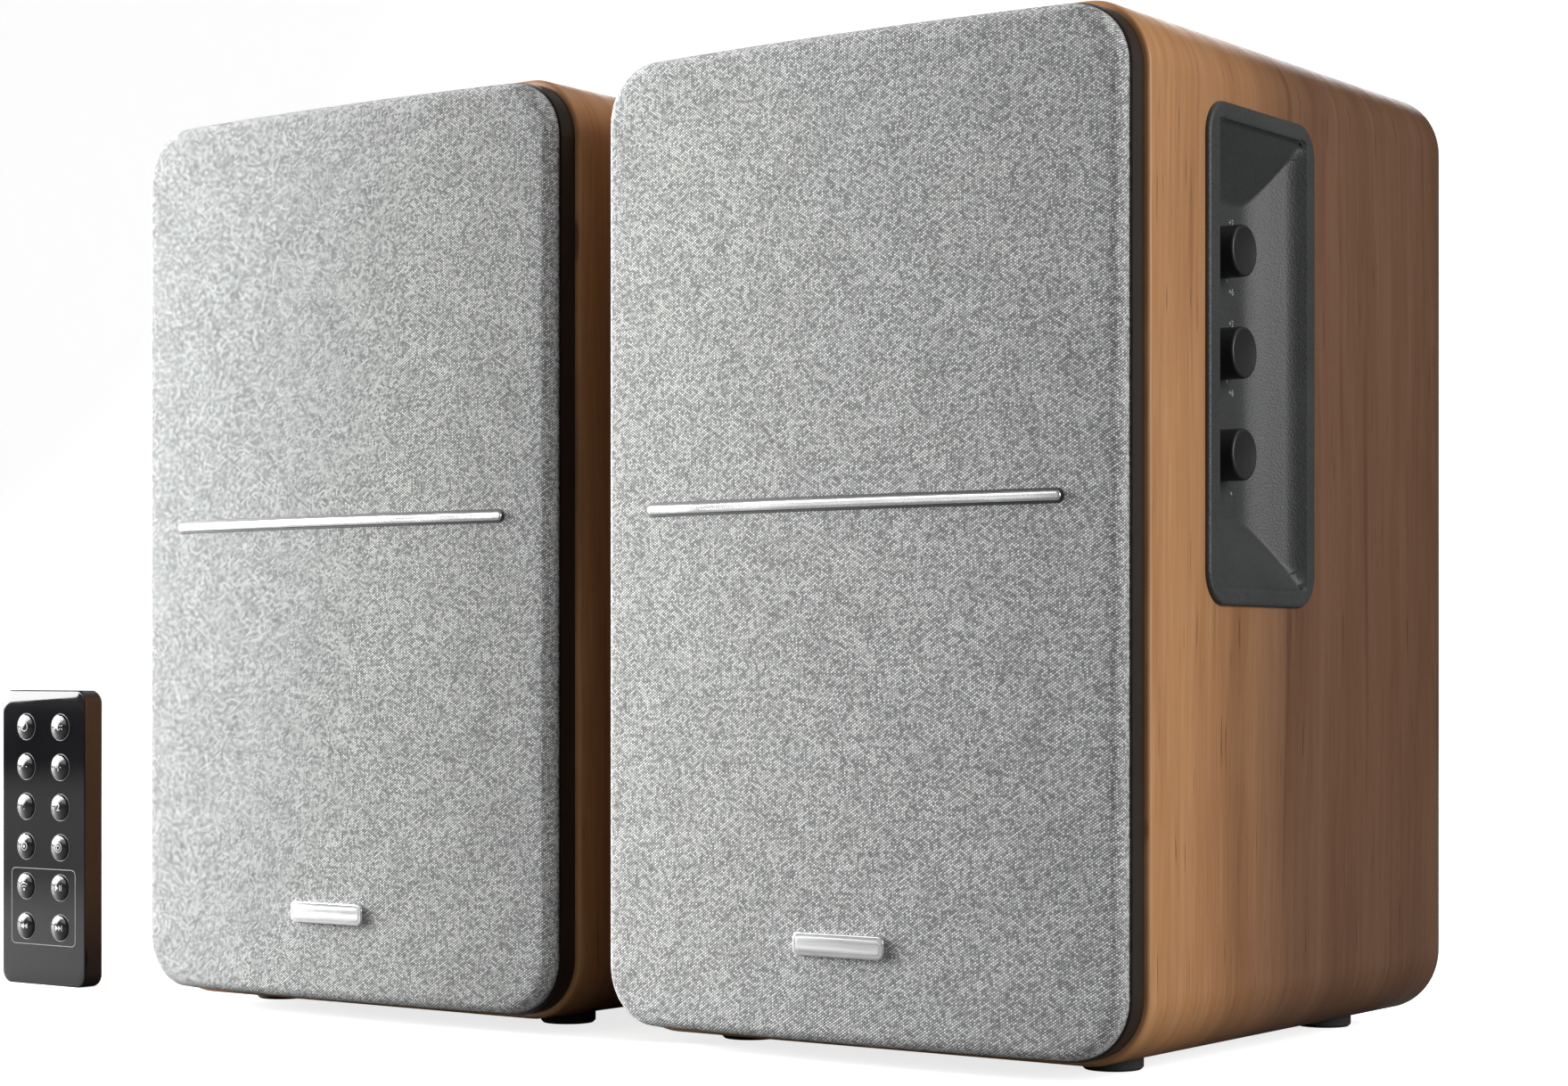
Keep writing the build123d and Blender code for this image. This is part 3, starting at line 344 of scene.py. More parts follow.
uneven = calc(grain_tree, "SUBTRACT", calc(grain_tree, "ADD", dust, handling), 1.0)
shade = calc(grain_tree, "ADD", calc(grain_tree, "MULTIPLY", uneven, given["Shade"]), 1.0)
rough = calc(grain_tree, "ADD", given["Roughness"], calc(grain_tree, "MULTIPLY", uneven, 0.12), clamp=True)
for label, value in (("Height", height), ("Shade", shade), ("Roughness", rough)):
    grain_tree.links.new(value, result.inputs[label])


def moulded(name, colour, roughness, grain=1500.0, depth=0.02, shade=0.15, coat=0.0, metallic=0.0):
    """A plastic or painted finish built on the moulded grain group. depth is the bump in millimetres."""
    material, tree, shader = finish_tree(name)
    effect = use_group(
        tree, grain_tree, {"Grain per metre": grain, "Shade": shade, "Roughness": roughness}
    )
    tone = add_node(
        tree, "ShaderNodeVectorMath", {0: colour, "Scale": effect["Shade"]}, operation="SCALE"
    ).outputs[0]
    tree.links.new(tone, shader.inputs["Base Color"])
    tree.links.new(effect["Roughness"], shader.inputs["Roughness"])
    pebbled = {"Height": effect["Height"], "Strength": 1.0, "Distance": depth * MM}
    bump = add_node(tree, "ShaderNodeBump", pebbled)
    tree.links.new(bump.outputs[0], shader.inputs["Normal"])
    shader.inputs["Coat Weight"].default_value = coat
    shader.inputs["Coat Roughness"].default_value = 0.08
    shader.inputs["Metallic"].default_value = metallic
    return material


charcoal = moulded("charcoal_panel", (0.032, 0.033, 0.033), 0.5, grain=2300, depth=0.06, shade=0.9)
knob_black = moulded("knob_black", (0.012, 0.012, 0.013), 0.42, grain=3500, depth=0.008)
baffle_brown = moulded("baffle_dark_brown", (0.021, 0.0135, 0.010), 0.38, grain=900, depth=0.01)
rear_black = moulded("rear_board_black", (0.022, 0.022, 0.023), 0.62, grain=900, depth=0.06, shade=0.4)
shell_black = moulded("remote_shell", (0.016, 0.016, 0.018), 0.33, grain=2600, depth=0.008)
socket_black = moulded("socket_black", (0.02, 0.02, 0.021), 0.45, grain=1600, depth=0.02)
frame_black = moulded("grille_frame_black", (0.018, 0.018, 0.018), 0.6, grain=1200, depth=0.03)
port_black = moulded("port_black", (0.02, 0.02, 0.02), 0.55, grain=1400, depth=0.02)
foot_rubber = moulded("foot_rubber", (0.03, 0.03, 0.03), 0.85, grain=1100, depth=0.03)
roll_rubber = moulded("surround_rubber", (0.022, 0.022, 0.022), 0.6, grain=1500, depth=0.02)
magnet_grey = moulded("magnet_ferrite", (0.06, 0.06, 0.065), 0.7, grain=700, depth=0.05, shade=0.4)
basket_coat = moulded("basket_powder_coat", (0.03, 0.03, 0.032), 0.5, grain=900, depth=0.05, metallic=0.3)
tweeter_plate = moulded("tweeter_plate", (0.03, 0.03, 0.031), 0.48, grain=1500, depth=0.02)
tab_black = moulded("tab_black", (0.015, 0.015, 0.015), 0.3, grain=1500, depth=0.01, coat=0.2)
tab_red = moulded("tab_red", (0.45, 0.012, 0.01), 0.3, grain=1500, depth=0.01, coat=0.2)
ring_white = moulded("ring_white", (0.7, 0.7, 0.68), 0.4, grain=1500, depth=0.01)
ring_orange = moulded("ring_orange", (0.75, 0.2, 0.02), 0.4, grain=1500, depth=0.01)
ring_red = moulded("ring_red", (0.55, 0.015, 0.012), 0.4, grain=1500, depth=0.01)
printed_grey = moulded("printed_grey", (0.30, 0.31, 0.31), 0.6, grain=2500, depth=0.004)
printed_white = moulded("printed_white", (0.62, 0.62, 0.62), 0.5, grain=2500, depth=0.004)
print("moulded finishes", sum(1 for m in bpy.data.materials if m.use_nodes))

# %% [markdown]
# ## Wood wrap
#
# The cabinets are board tubes wrapped in one sheet of printed wood-grain vinyl, so the grain runs up
# the side, round the rounded corner and across the top without a break. Real planks would show end
# grain there. The pattern therefore needs a coordinate that follows the wrap: the distance round the
# outside of the tube from the middle of its top. It is worked out in the shader from the object's own
# place, because that needs no unwrapping and can't stretch.
#
# Wood is layers of lines at different sizes: broad darker bands, fine streaks and short dark pores, all
# long along the grain and short across it. Each is noise with its coordinate squeezed along the grain.
# A last ramp darkens it from front to back, along a line that wanders, and turns its tone cooler there:
# this is painted shade, standing in for light that falls away towards the rear of the cabinet.

# %% Wrap coordinate group
half_width = (cabinet_high.x - cabinet_low.x) / 2
half_height = (cabinet_high.z - cabinet_low.z) / 2
CORNER = 16 * MM
wrap_tree, given, result = start_group(
    "wrap_coordinate", [("Centre", "vector", (0, 0, 0))], [("Across", "float"), ("Along", "float")]
)
place = add_node(wrap_tree, "ShaderNodeTexCoord").outputs["Object"]
local = add_node(
    wrap_tree, "ShaderNodeVectorMath", {0: place, 1: given["Centre"]}, operation="SUBTRACT"
).outputs[0]
axes = add_node(wrap_tree, "ShaderNodeSeparateXYZ", {0: local}).outputs
flat_x, flat_z = half_width - CORNER, half_height - CORNER
quarter = flat_x + CORNER * math.pi / 2 + flat_z
size_x = calc(wrap_tree, "ABSOLUTE", axes[0])
size_z = calc(wrap_tree, "ABSOLUTE", axes[2])
past_x = calc(wrap_tree, "MAXIMUM", calc(wrap_tree, "SUBTRACT", size_x, flat_x), 0.0)
past_z = calc(wrap_tree, "MAXIMUM", calc(wrap_tree, "SUBTRACT", size_z, flat_z), 1e-6)
turned = calc(wrap_tree, "MULTIPLY", calc(wrap_tree, "ARCTAN2", past_x, past_z), CORNER)
top_part = calc(wrap_tree, "MINIMUM", size_x, flat_x)
side_part = calc(wrap_tree, "SUBTRACT", flat_z, calc(wrap_tree, "MINIMUM", size_z, flat_z))
from_top = calc(wrap_tree, "ADD", calc(wrap_tree, "ADD", top_part, turned), side_part)
above = calc(wrap_tree, "GREATER_THAN", axes[2], 0.0)
below = calc(wrap_tree, "SUBTRACT", 1.0, above)
under = calc(wrap_tree, "MULTIPLY", calc(wrap_tree, "SUBTRACT", 2 * quarter, from_top), below)
whole = calc(wrap_tree, "ADD", calc(wrap_tree, "MULTIPLY", from_top, above), under)
signed = calc(wrap_tree, "MULTIPLY", whole, calc(wrap_tree, "SIGN", axes[0]))
wrap_tree.links.new(signed, result.inputs["Along"])
wrap_tree.links.new(axes[1], result.inputs["Across"])
print("quarter of the way round the cabinet, mm", round(quarter / MM, 1))

# %% Wood wrap material
def grain_noise(tree, along, across, seed, squeeze, scale, detail=4.0, twist=0.0):
    """Noise drawn out along the grain: squeeze is how many times longer than wide its marks are."""
    spot = add_node(
        tree, "ShaderNodeCombineXYZ", {0: across, 1: calc(tree, "DIVIDE", along, squeeze), 2: seed}
    ).outputs[0]
    names = {"Vector": spot, "Scale": scale, "Detail": detail, "Roughness": 0.55, "Distortion": twist}
    return add_node(tree, "ShaderNodeTexNoise", names).outputs["Fac"]


HALF_DEPTH = (cabinet_high.y - cabinet_low.y) / 2
# Painted shade: how much darker and cooler the wood is made from front to rear.
PAINTED_REAR_SHADE = (
    (0.0, (1.0, 1.0, 1.0)), (0.12, (0.84, 0.83, 0.84)), (0.3, (0.55, 0.54, 0.60)),
    (0.5, (0.34, 0.33, 0.41)), (1.0, (0.27, 0.26, 0.32)),
)


def wood_wrap(name, centre, seed):
    """Satin printed wood vinyl, its grain running round the tube, with painted shade towards the rear."""
    material, tree, shader = finish_tree(name)
    wrap = use_group(tree, wrap_tree, {"Centre": centre})
    along, across = wrap["Along"], wrap["Across"]
    sway = grain_noise(tree, along, across, seed + 3, 3.0, 9.0, 2.0)
    swayed = calc(tree, "ADD", across, calc(tree, "MULTIPLY", calc(tree, "SUBTRACT", sway, 0.5), 0.012))
    bands = grain_noise(tree, along, swayed, seed, 14.0, 62.0, 3.0, 0.4)
    streaks = grain_noise(tree, along, swayed, seed + 11, 40.0, 420.0, 4.0)
    fibres = grain_noise(tree, along, swayed, seed + 23, 60.0, 2200.0, 2.0)
    pores = grain_noise(tree, along, swayed, seed + 31, 22.0, 900.0, 2.0)
    veins = grain_noise(tree, along, swayed, seed + 47, 30.0, 130.0, 2.0, 0.6)
    ramp = add_node(tree, "ShaderNodeValToRGB", {0: stretch(tree, bands, 0.25, 0.75)})
    tones = (
        (0.0, (0.30, 0.135, 0.052)),
        (0.35, (0.41, 0.195, 0.078)),
        (0.65, (0.49, 0.25, 0.108)),
        (1.0, (0.56, 0.31, 0.145)),
    )
    ramp.color_ramp.elements.remove(ramp.color_ramp.elements[1])
    ramp.color_ramp.elements[0].color = (*tones[0][1], 1)
    for at, tone in tones[1:]:
        ramp.color_ramp.elements.new(at).color = (*tone, 1)
    streak_share = stretch(tree, streaks, 0.35, 0.7, 0.0, 0.55)
    colour = blend_colours(tree, streak_share, ramp.outputs["Color"], (0.33, 0.145, 0.055, 1))
    colour = blend_colours(tree, stretch(tree, fibres, 0.45, 0.75, 0.0, 0.35), colour, (0.62, 0.37, 0.19, 1))
    vein_share = stretch(tree, veins, 0.62, 0.74, 0.0, 0.6)
    colour = blend_colours(tree, vein_share, colour, (0.17, 0.072, 0.030, 1))
    pore_share = stretch(tree, pores, 0.66, 0.74, 0.0, 0.7)
    colour = blend_colours(tree, pore_share, colour, (0.12, 0.055, 0.025, 1))
    # Painted shade: a ramp from front to rear, along a wandering line, multiplies the colour darker.
    from_front = calc(tree, "ADD", swayed, HALF_DEPTH)
    drift = grain_noise(tree, along, across, seed + 61, 6.0, 16.0, 3.0, 0.3)
    wander = calc(tree, "MULTIPLY", calc(tree, "SUBTRACT", drift, 0.5), 0.05)
    from_front = calc(tree, "ADD", from_front, wander)
    painted_rear_shade = add_node(tree, "ShaderNodeValToRGB", {0: calc(tree, "DIVIDE", from_front, 2 * HALF_DEPTH)})
    painted_rear_shade.color_ramp.elements.remove(painted_rear_shade.color_ramp.elements[1])
    painted_rear_shade.color_ramp.elements[0].color = (*PAINTED_REAR_SHADE[0][1], 1)
    for at, tone in PAINTED_REAR_SHADE[1:]:
        painted_rear_shade.color_ramp.elements.new(at).color = (*tone, 1)
    darkened = {0: 1.0, 6: colour, 7: painted_rear_shade.outputs["Color"]}
    colour = add_node(
        tree, "ShaderNodeMix", darkened, data_type="RGBA", blend_type="MULTIPLY"
    ).outputs[2]
    tree.links.new(colour, shader.inputs["Base Color"])
    sheen = stretch(tree, streaks, 0.3, 0.7, 0.36, 0.46)
    tree.links.new(sheen, shader.inputs["Roughness"])
    relief = calc(tree, "SUBTRACT", fibres, calc(tree, "MULTIPLY", pore_share, 0.8))
    bump = add_node(tree, "ShaderNodeBump", {"Height": relief, "Strength": 1.0, "Distance": 0.02 * MM})
    tree.links.new(bump.outputs[0], shader.inputs["Normal"])
    shader.inputs["Specular IOR Level"].default_value = 0.4
    return material


middles = {}
wood = {}
for index, side in enumerate(SIDES):
    low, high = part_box(f"{side}_cabinet")
    middles[side] = (low + high) / 2
    wood[side] = wood_wrap(f"wood_wrap_{side}", middles[side], 5.0 + 17.0 * index)
print("cabinet middles", {k: tuple(round(c, 4) for c in v) for k, v in middles.items()})

# %% [markdown]
# ## Cabinets
#
# Each cabinet is a tube of board with rounded corners. A tube is a sweep: one closed cross-section of
# the wall, carried round the outline. Doing it in code gives even quads, tiny rounded front and back
# edges that catch the light, and far smoother corners than the plain model. The right-hand one has a
# rounded opening for the control panel, cut by a Boolean that is applied at once.

# %% Outline helper
def rounded_outline(width, height, corner, arc_steps=12, side_steps=1):
    """Points and outward directions round a rounded rectangle, anticlockwise from lower right."""
    found = []
    middles_of_corners = ((1, -1, -90), (1, 1, 0), (-1, 1, 90), (-1, -1, 180))
    for sx, sz, begin in middles_of_corners:
        cx, cz = sx * (width / 2 - corner), sz * (height / 2 - corner)
        for step in range(arc_steps + 1):
            turn = math.radians(begin + 90 * step / arc_steps)
            out = Vector((math.cos(turn), math.sin(turn)))
            found.append((Vector((cx, cz)) + out * corner, out))
    spread = []
    for (point, out), (after, _) in zip(found, found[1:] + found[:1]):
        spread.append((point, out))
        if side_steps > 1 and (after - point).length > 2 * corner:
            spread += [(point.lerp(after, k / side_steps), out) for k in range(1, side_steps)]
    return spread


def sweep_section(name, outline, section, middle):
    """A closed wall section of (inward, y) pairs carried round an outline in the XZ plane."""
    points = []
    for inward, y in section:
        for point, out in outline:
            flat = point - out * inward
            points.append(Vector((middle.x + flat.x, y, middle.z + flat.y)))
    rows, columns = len(section), len(outline)
    faces = grid_faces(rows, columns, closed=True)
    last = (rows - 1) * columns
    faces += [(last + c, last + (c + 1) % columns, (c + 1) % columns, c) for c in range(columns)]
    return mesh_piece(name, points, faces)


def apply_all(obj):
    """Replace an object's mesh with what its modifiers make of it."""
    depsgraph = bpy.context.evaluated_depsgraph_get()
    made = bpy.data.meshes.new_from_object(obj.evaluated_get(depsgraph))
    obj.modifiers.clear()
    obj.data = made
    return obj


def shade_by_angle(obj, degrees=35):
    """Smooth shading that keeps edges sharper than an angle."""
    mesh = obj.data
    mesh.polygons.foreach_set("use_smooth", [True] * len(mesh.polygons))
    edit = bmesh.new()
    edit.from_mesh(mesh)
    for edge in edit.edges:
        sharp = len(edge.link_faces) == 2 and edge.calc_face_angle(0) > math.radians(degrees)
        edge.smooth = not sharp
    edit.to_mesh(mesh)
    edit.free()
    mesh.update()
    return obj


# %% Cabinets
WALL = 9 * MM
SOFT = 0.9 * MM
panel_low, panel_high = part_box("control_panel")
panel_middle = (panel_low + panel_high) / 2
outline = rounded_outline(2 * half_width, 2 * half_height, CORNER, 16, 10)


def edge_turn(y, inward_to_back):
    """Five points of a small rounded edge at one end of the wall."""
    found = []
    for step in range(5):
        turn = math.radians(90 * step / 4)
        across_edge, along_edge = SOFT * (1 - math.sin(turn)), SOFT * (1 - math.cos(turn))
        found.append((across_edge, y + inward_to_back * along_edge))
    return found


for side, body in SIDES.items():
    low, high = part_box(f"{side}_cabinet")
    section = [(WALL, low.y), (4 * SOFT, low.y)] + edge_turn(low.y, 1)
    section += [(0, low.y + k * (high.y - low.y) / 8) for k in range(1, 8)]
    section += list(reversed(edge_turn(high.y, -1))) + [(4 * SOFT, high.y), (WALL, high.y)]
    cabinet = sweep_section(f"{side}_wood_cabinet", outline, section, middles[side])
    if side == "right":
        hole = []
        for depth in (panel_high.x + 0.01, high.x - 2 * WALL):
            for point, _ in rounded_outline(
                panel_high.y - panel_low.y - 4.6 * MM, panel_high.z - panel_low.z - 4.6 * MM, 5.5 * MM, 8
            ):
                hole.append((depth, panel_middle.y + point.x, panel_middle.z + point.y))
        count = len(hole) // 2
        caps = [tuple(range(count)), tuple(range(2 * count - 1, count - 1, -1))]
        cutter = mesh_piece("panel_cutter", hole, grid_faces(2, count, closed=True) + caps)
        cut = cabinet.modifiers.new("panel_opening", "BOOLEAN")
        cut.operation, cut.solver, cut.object = "DIFFERENCE", "EXACT", cutter
        apply_all(cabinet)
        bpy.data.objects.remove(cutter)
    shade_by_angle(cabinet, 30)
    paint(cabinet, wood[side])
    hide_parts(f"{side}_cabinet")
    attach(cabinet, body)
    print(cabinet.name, "faces", len(cabinet.data.polygons))

# %% [markdown]
# ## Slabs with soft edges
#
# The grille cloth, the bright strip, the name plate's blank, the remote's glass and the control panel
# are all the same kind of form: a face inside a rounded outline, an edge that rolls over, and a side
# that runs back. One function makes them all. It lays the face in columns that get closer together in
# the corners, so that the outline is round and the quads stay even, then adds rings over the edge.
# A `surface` function says how far the face stands out at each place, and `place` turns the slab's own
# directions into the scene's. It also notes where each point lies on the flat-cut material, so a weave
# can follow the cloth over its edge.

# %% Soft-edged slab
def corner_columns(width, height, corner, arc_steps, middle_steps):
    """Columns across a rounded rectangle: (u, half height there, outward direction of its ends)."""
    left = []
    for step in range(arc_steps + 1):
        turn = math.radians(90 * step / arc_steps)
        u = -width / 2 + corner * (1 - math.cos(turn))
        half = height / 2 - corner * (1 - math.sin(turn))
        left.append((u, half, Vector((-math.cos(turn), math.sin(turn)))))
    span = width - 2 * corner
    middle = [
        (-span / 2 + span * k / middle_steps, height / 2, Vector((0, 1))) for k in range(1, middle_steps)
    ]
    right = [(-u, half, Vector((-out.x, out.y))) for u, half, out in reversed(left)]
    return left + middle + right


def soft_slab(name, size, corner, edge, back, place, surface, counts, hem=None, edge_steps=5):
    """A face with a rolled edge and a side. back is the height of its rear edge. With a hem, the
    material turns in behind by that much and stays open; without one it is closed by a flat back."""
    width, height = size
    arc_steps, middle_steps, rows = counts
    inner_corner = max(corner - edge, 1e-5)
    columns = corner_columns(width - 2 * edge, height - 2 * edge, inner_corner, arc_steps, middle_steps)
    points, cut = [], []
    for u, half, _ in columns:
        for r in range(rows + 1):
            v = half * (2 * r / rows - 1)
            points.append(place(u, v, surface(u, v)))
            cut.append((u, v, 0))
    tall = rows + 1
    faces = []
    for c in range(len(columns) - 1):
        for r in range(rows):
            a = c * tall + r
            faces.append((a, a + 1, a + tall + 1, a + tall))
    last = len(columns) - 1
    rim = [(c * tall, Vector((columns[c][2].x, -columns[c][2].y))) for c in range(last + 1)]
    rim += [(last * tall + r, Vector((1, 0))) for r in range(1, rows)]
    rim += [(c * tall + rows, columns[c][2]) for c in range(last, -1, -1)]
    rim += [(r, Vector((-1, 0))) for r in range(rows - 1, 0, -1)]
    before = [index for index, _ in rim]
    steps = []
    for step in range(1, edge_steps + 1):
        turn = math.radians(90 * step / edge_steps)
        steps.append((edge * math.sin(turn), edge * (1 - math.cos(turn)), edge * turn, False))
    steps.append((edge, None, None, False))
    if hem:
        steps.append((edge - hem, None, None, True))
    for outward, drop, travel, turned_in in steps:
        now = []
        for index, out in rim:
            u, v = cut[index][0], cut[index][1]
            high = surface(u, v) - drop if drop is not None else back
            run = travel if travel is not None else edge * math.pi / 2 + surface(u, v) - edge - back
            run += hem if turned_in else 0
            points.append(place(u + out.x * outward, v + out.y * outward, high))
            cut.append((u + out.x * run, v + out.y * run, 0))
            now.append(len(points) - 1)
        for k in range(len(rim)):
            n = (k + 1) % len(rim)
            faces.append((before[k], before[n], now[n], now[k]))
        before = now
    if not hem:
        faces.append(tuple(before))
    piece = mesh_piece(name, points, faces)
    noted = piece.data.attributes.new("cut_place", "FLOAT_VECTOR", "POINT")
    noted.data.foreach_set("vector", [value for spot in cut for value in spot])
    return piece


def solidify(piece, thickness):
    """Give a sheet its thickness, inwards."""
    layer = piece.modifiers.new("thickness", "SOLIDIFY")
    layer.thickness, layer.offset = thickness, -1
    return apply_all(piece)


# %% [markdown]
# ## Grille cloth
#
# A speaker grille is a stiff frame with open knitted cloth pulled tight over it. The yarn is a mix of
# pale and dark fibres, so from close up it is a fine salt and pepper with diagonal ribs, and from
# further away an even grey. The cloth is a separate sheet here: it bows with the frame, rolls over the
# frame's edge and turns in behind it, where it would be glued. A cloth simulation isn't needed, since a
# stretched sheet has no folds.
#
# The weave is worked out from where each point lay on the flat cloth. Every stitch is one cell of a
# staggered diagonal grid with a height, for the bump, and a random yarn shade. The colour also darkens
# towards each stitch's edges: partly the dark seen through the open knit, partly painted shade in the
# creases.

# %% Knit material
STITCH = 0.60 * MM


def knit_cloth(name):
    """Grey melange knit with diagonal ribs, and painted shade in the creases between stitches."""
    material, tree, shader = finish_tree(name)
    cut = add_node(tree, "ShaderNodeAttribute", attribute_name="cut_place").outputs["Vector"]
    axes = add_node(tree, "ShaderNodeSeparateXYZ", {0: cut}).outputs
    uneven = {"Vector": cut, "Scale": 260.0, "Detail": 2.0}
    wobble = add_node(tree, "ShaderNodeTexNoise", uneven).outputs["Fac"]
    wobble = calc(tree, "MULTIPLY", calc(tree, "SUBTRACT", wobble, 0.5), 0.3)
    u = calc(tree, "DIVIDE", axes[0], STITCH)
    v = calc(tree, "DIVIDE", axes[1], STITCH)
    along = calc(tree, "ADD", calc(tree, "MULTIPLY", u, 0.8), calc(tree, "MULTIPLY", v, 0.6))
    along = calc(tree, "ADD", along, wobble)
    rib = calc(tree, "SUBTRACT", calc(tree, "MULTIPLY", v, 0.9), calc(tree, "MULTIPLY", u, 0.6))
    rib = calc(tree, "ADD", rib, wobble)
    row = calc(tree, "FLOOR", rib)
    shifted = calc(tree, "ADD", along, calc(tree, "MULTIPLY", row, 0.37))
    cell = add_node(tree, "ShaderNodeCombineXYZ", {0: calc(tree, "FLOOR", shifted), 1: row}).outputs[0]
    yarn = add_node(tree, "ShaderNodeTexWhiteNoise", {"Vector": cell}, noise_dimensions="2D").outputs["Value"]
    across_stitch = calc(tree, "SINE", calc(tree, "MULTIPLY", calc(tree, "FRACT", rib), math.pi))
    along_stitch = calc(tree, "SINE", calc(tree, "MULTIPLY", calc(tree, "FRACT", shifted), math.pi))
    rounded = calc(tree, "POWER", along_stitch, 0.5)
    bulge = calc(tree, "MULTIPLY", calc(tree, "POWER", across_stitch, 0.7), rounded)
    blotches = {"Vector": cut, "Scale": 90.0, "Detail": 3.0}
    mottle = add_node(tree, "ShaderNodeTexNoise", blotches).outputs["Fac"]
    mottled = stretch(tree, mottle, 0.2, 0.8, 0.86, 1.12)
    light = calc(tree, "MULTIPLY", stretch(tree, yarn, 0.0, 1.0, 0.3, 1.0), mottled)
    # Painted shade: each stitch darkens towards its edges, in the creases between stitches, partly also the
    # dark seen through the open knit.
    light = calc(tree, "MULTIPLY", light, stretch(tree, bulge, 0.2, 0.72, 0.07, 1.0))
    colour = blend_colours(tree, light, (0.02, 0.02, 0.021, 1), (0.92, 0.92, 0.92, 1))
    tree.links.new(colour, shader.inputs["Base Color"])
    tree.links.new(stretch(tree, bulge, 0.0, 1.0, 0.95, 0.72), shader.inputs["Roughness"])
    bump = add_node(tree, "ShaderNodeBump", {"Height": bulge, "Strength": 0.5, "Distance": 0.25 * MM})
    tree.links.new(bump.outputs[0], shader.inputs["Normal"])
    shader.inputs["Specular IOR Level"].default_value = 0.35
    shader.inputs["Sheen Weight"].default_value = 0.05
    shader.inputs["Sheen Roughness"].default_value = 0.5
    return material


def satin_metal(name, colour, roughness, lines=900.0):
    """Fine brushed metal: noise drawn out along X makes the brushing."""
    material, tree, shader = finish_tree(name)
    place = add_node(tree, "ShaderNodeTexCoord").outputs["Object"]
    drawn = add_node(tree, "ShaderNodeMapping", {"Vector": place, "Scale": (0.03, 1.0, 1.0)}).outputs[0]
    hairlines = {"Vector": drawn, "Scale": lines, "Detail": 3.0}
    brushed = add_node(tree, "ShaderNodeTexNoise", hairlines).outputs["Fac"]
    rough = stretch(tree, brushed, 0.3, 0.7, roughness - 0.05, roughness + 0.08)
    tree.links.new(rough, shader.inputs["Roughness"])
    tone = tuple(c * 0.88 for c in colour)
    tree.links.new(blend_colours(tree, brushed, (*tone, 1), (*colour, 1)), shader.inputs["Base Color"])
    shader.inputs["Metallic"].default_value = 1.0
    bump = add_node(tree, "ShaderNodeBump", {"Height": brushed, "Strength": 0.4, "Distance": 0.004 * MM})
    tree.links.new(bump.outputs[0], shader.inputs["Normal"])
    return material


cloth_grey = knit_cloth("grille_knit")
strip_silver = satin_metal("strip_silver", (0.93, 0.93, 0.94), 0.22)
badge_silver = satin_metal("badge_silver", (0.80, 0.80, 0.81), 0.30)
nickel = satin_metal("nickel_plate", (0.72, 0.70, 0.66), 0.25)
screw_steel = satin_metal("screw_black_zinc", (0.10, 0.10, 0.105), 0.38, 1500.0)
print("stitch size, mm", STITCH / MM)

# %% Grilles
BOW = 4 * MM
CLOTH_EDGE = 2.6 * MM
CLOTH_TURN_IN = 5 * MM


def bowed(width, out_at_edge):
    """How far a face stands out across its width: a shallow arc that is BOW higher in the middle."""
    radius = width**2 / (8 * BOW) + BOW / 2

    def surface(u, v):
        return out_at_edge + BOW - radius + math.sqrt(max(radius**2 - u**2, 0.0))

    return surface


def facing_front(middle_x, y, middle_z):
    """Placement for slabs that face the listener: u is X, v is Z, height is towards -Y."""
    return lambda u, v, high: Vector((middle_x + u, y - high, middle_z + v))


for side in SIDES:
    low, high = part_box(f"{side}_grille_cloth")
    width, tall = high.x - low.x, high.z - low.z
    middle = (low + high) / 2
    side_depth = (high.y - low.y) - BOW
    place = facing_front(middle.x, high.y, middle.z)
    bend = bowed(width, side_depth)
    corner = CORNER - (cabinet_high.x - cabinet_low.x - width) / 2
    cloth = soft_slab(
        f"{side}_knit_cloth", (width, tall), corner, CLOTH_EDGE, 0.05 * MM,
        place, bend, (12, 60, 96), CLOTH_TURN_IN,
    )
    solidify(cloth, 0.5 * MM)
    paint(cloth, cloth_grey)
    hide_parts(f"{side}_grille_cloth")
    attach(cloth, f"{side}_grille")
    turned = CLOTH_EDGE * (math.pi / 2 - 1) + side_depth - CLOTH_EDGE + CLOTH_TURN_IN
    flat = (width + 2 * turned, tall + 2 * turned)

    strip_low, strip_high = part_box(f"{side}_grille_strip")
    strip_size = Vector((strip_high.x - strip_low.x, strip_high.z - strip_low.z))
    strip_middle = (strip_low + strip_high) / 2
    strip_place = facing_front(strip_middle.x, high.y, strip_middle.z)
    bed = soft_slab(
        f"{side}_strip_bed", strip_size + Vector((1.3, 1.3)) * MM, strip_size.y / 2 + 0.6 * MM, 0.2 * MM,
        side_depth - 0.2 * MM, strip_place, bowed(width, side_depth + 0.12 * MM), (8, 60, 4),
    )
    strip = soft_slab(
        f"{side}_bright_strip", strip_size, strip_size.y / 2 - 0.05 * MM, 0.45 * MM, side_depth - 0.1 * MM,
        strip_place, bowed(width, side_depth + 0.72 * MM), (8, 60, 4),
    )
    badge_middle = facing_front(middle.x, high.y, middle.z - 92.4 * MM)
    badge = soft_slab(
        f"{side}_blank_badge", Vector((25.0, 5.4)) * MM, 1.6 * MM, 0.3 * MM, side_depth, badge_middle,
        bowed(width, side_depth + 0.9 * MM), (6, 16, 6),
    )
    inlay = soft_slab(
        f"{side}_badge_inlay", Vector((23.0, 3.4)) * MM, 0.9 * MM, 0.1 * MM, side_depth, badge_middle,
        bowed(width, side_depth + 0.96 * MM), (6, 16, 6),
    )
    paint(bed, frame_black)
    paint(strip, strip_silver)
    paint(badge, strip_silver)
    paint(inlay, badge_silver)
    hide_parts(f"{side}_grille_strip")
    for piece in (bed, strip, badge, inlay):
        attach(piece, f"{side}_grille")
    print(side, "cloth cut to", tuple(round(v / MM, 1) for v in flat), "mm, faces", len(cloth.data.polygons))

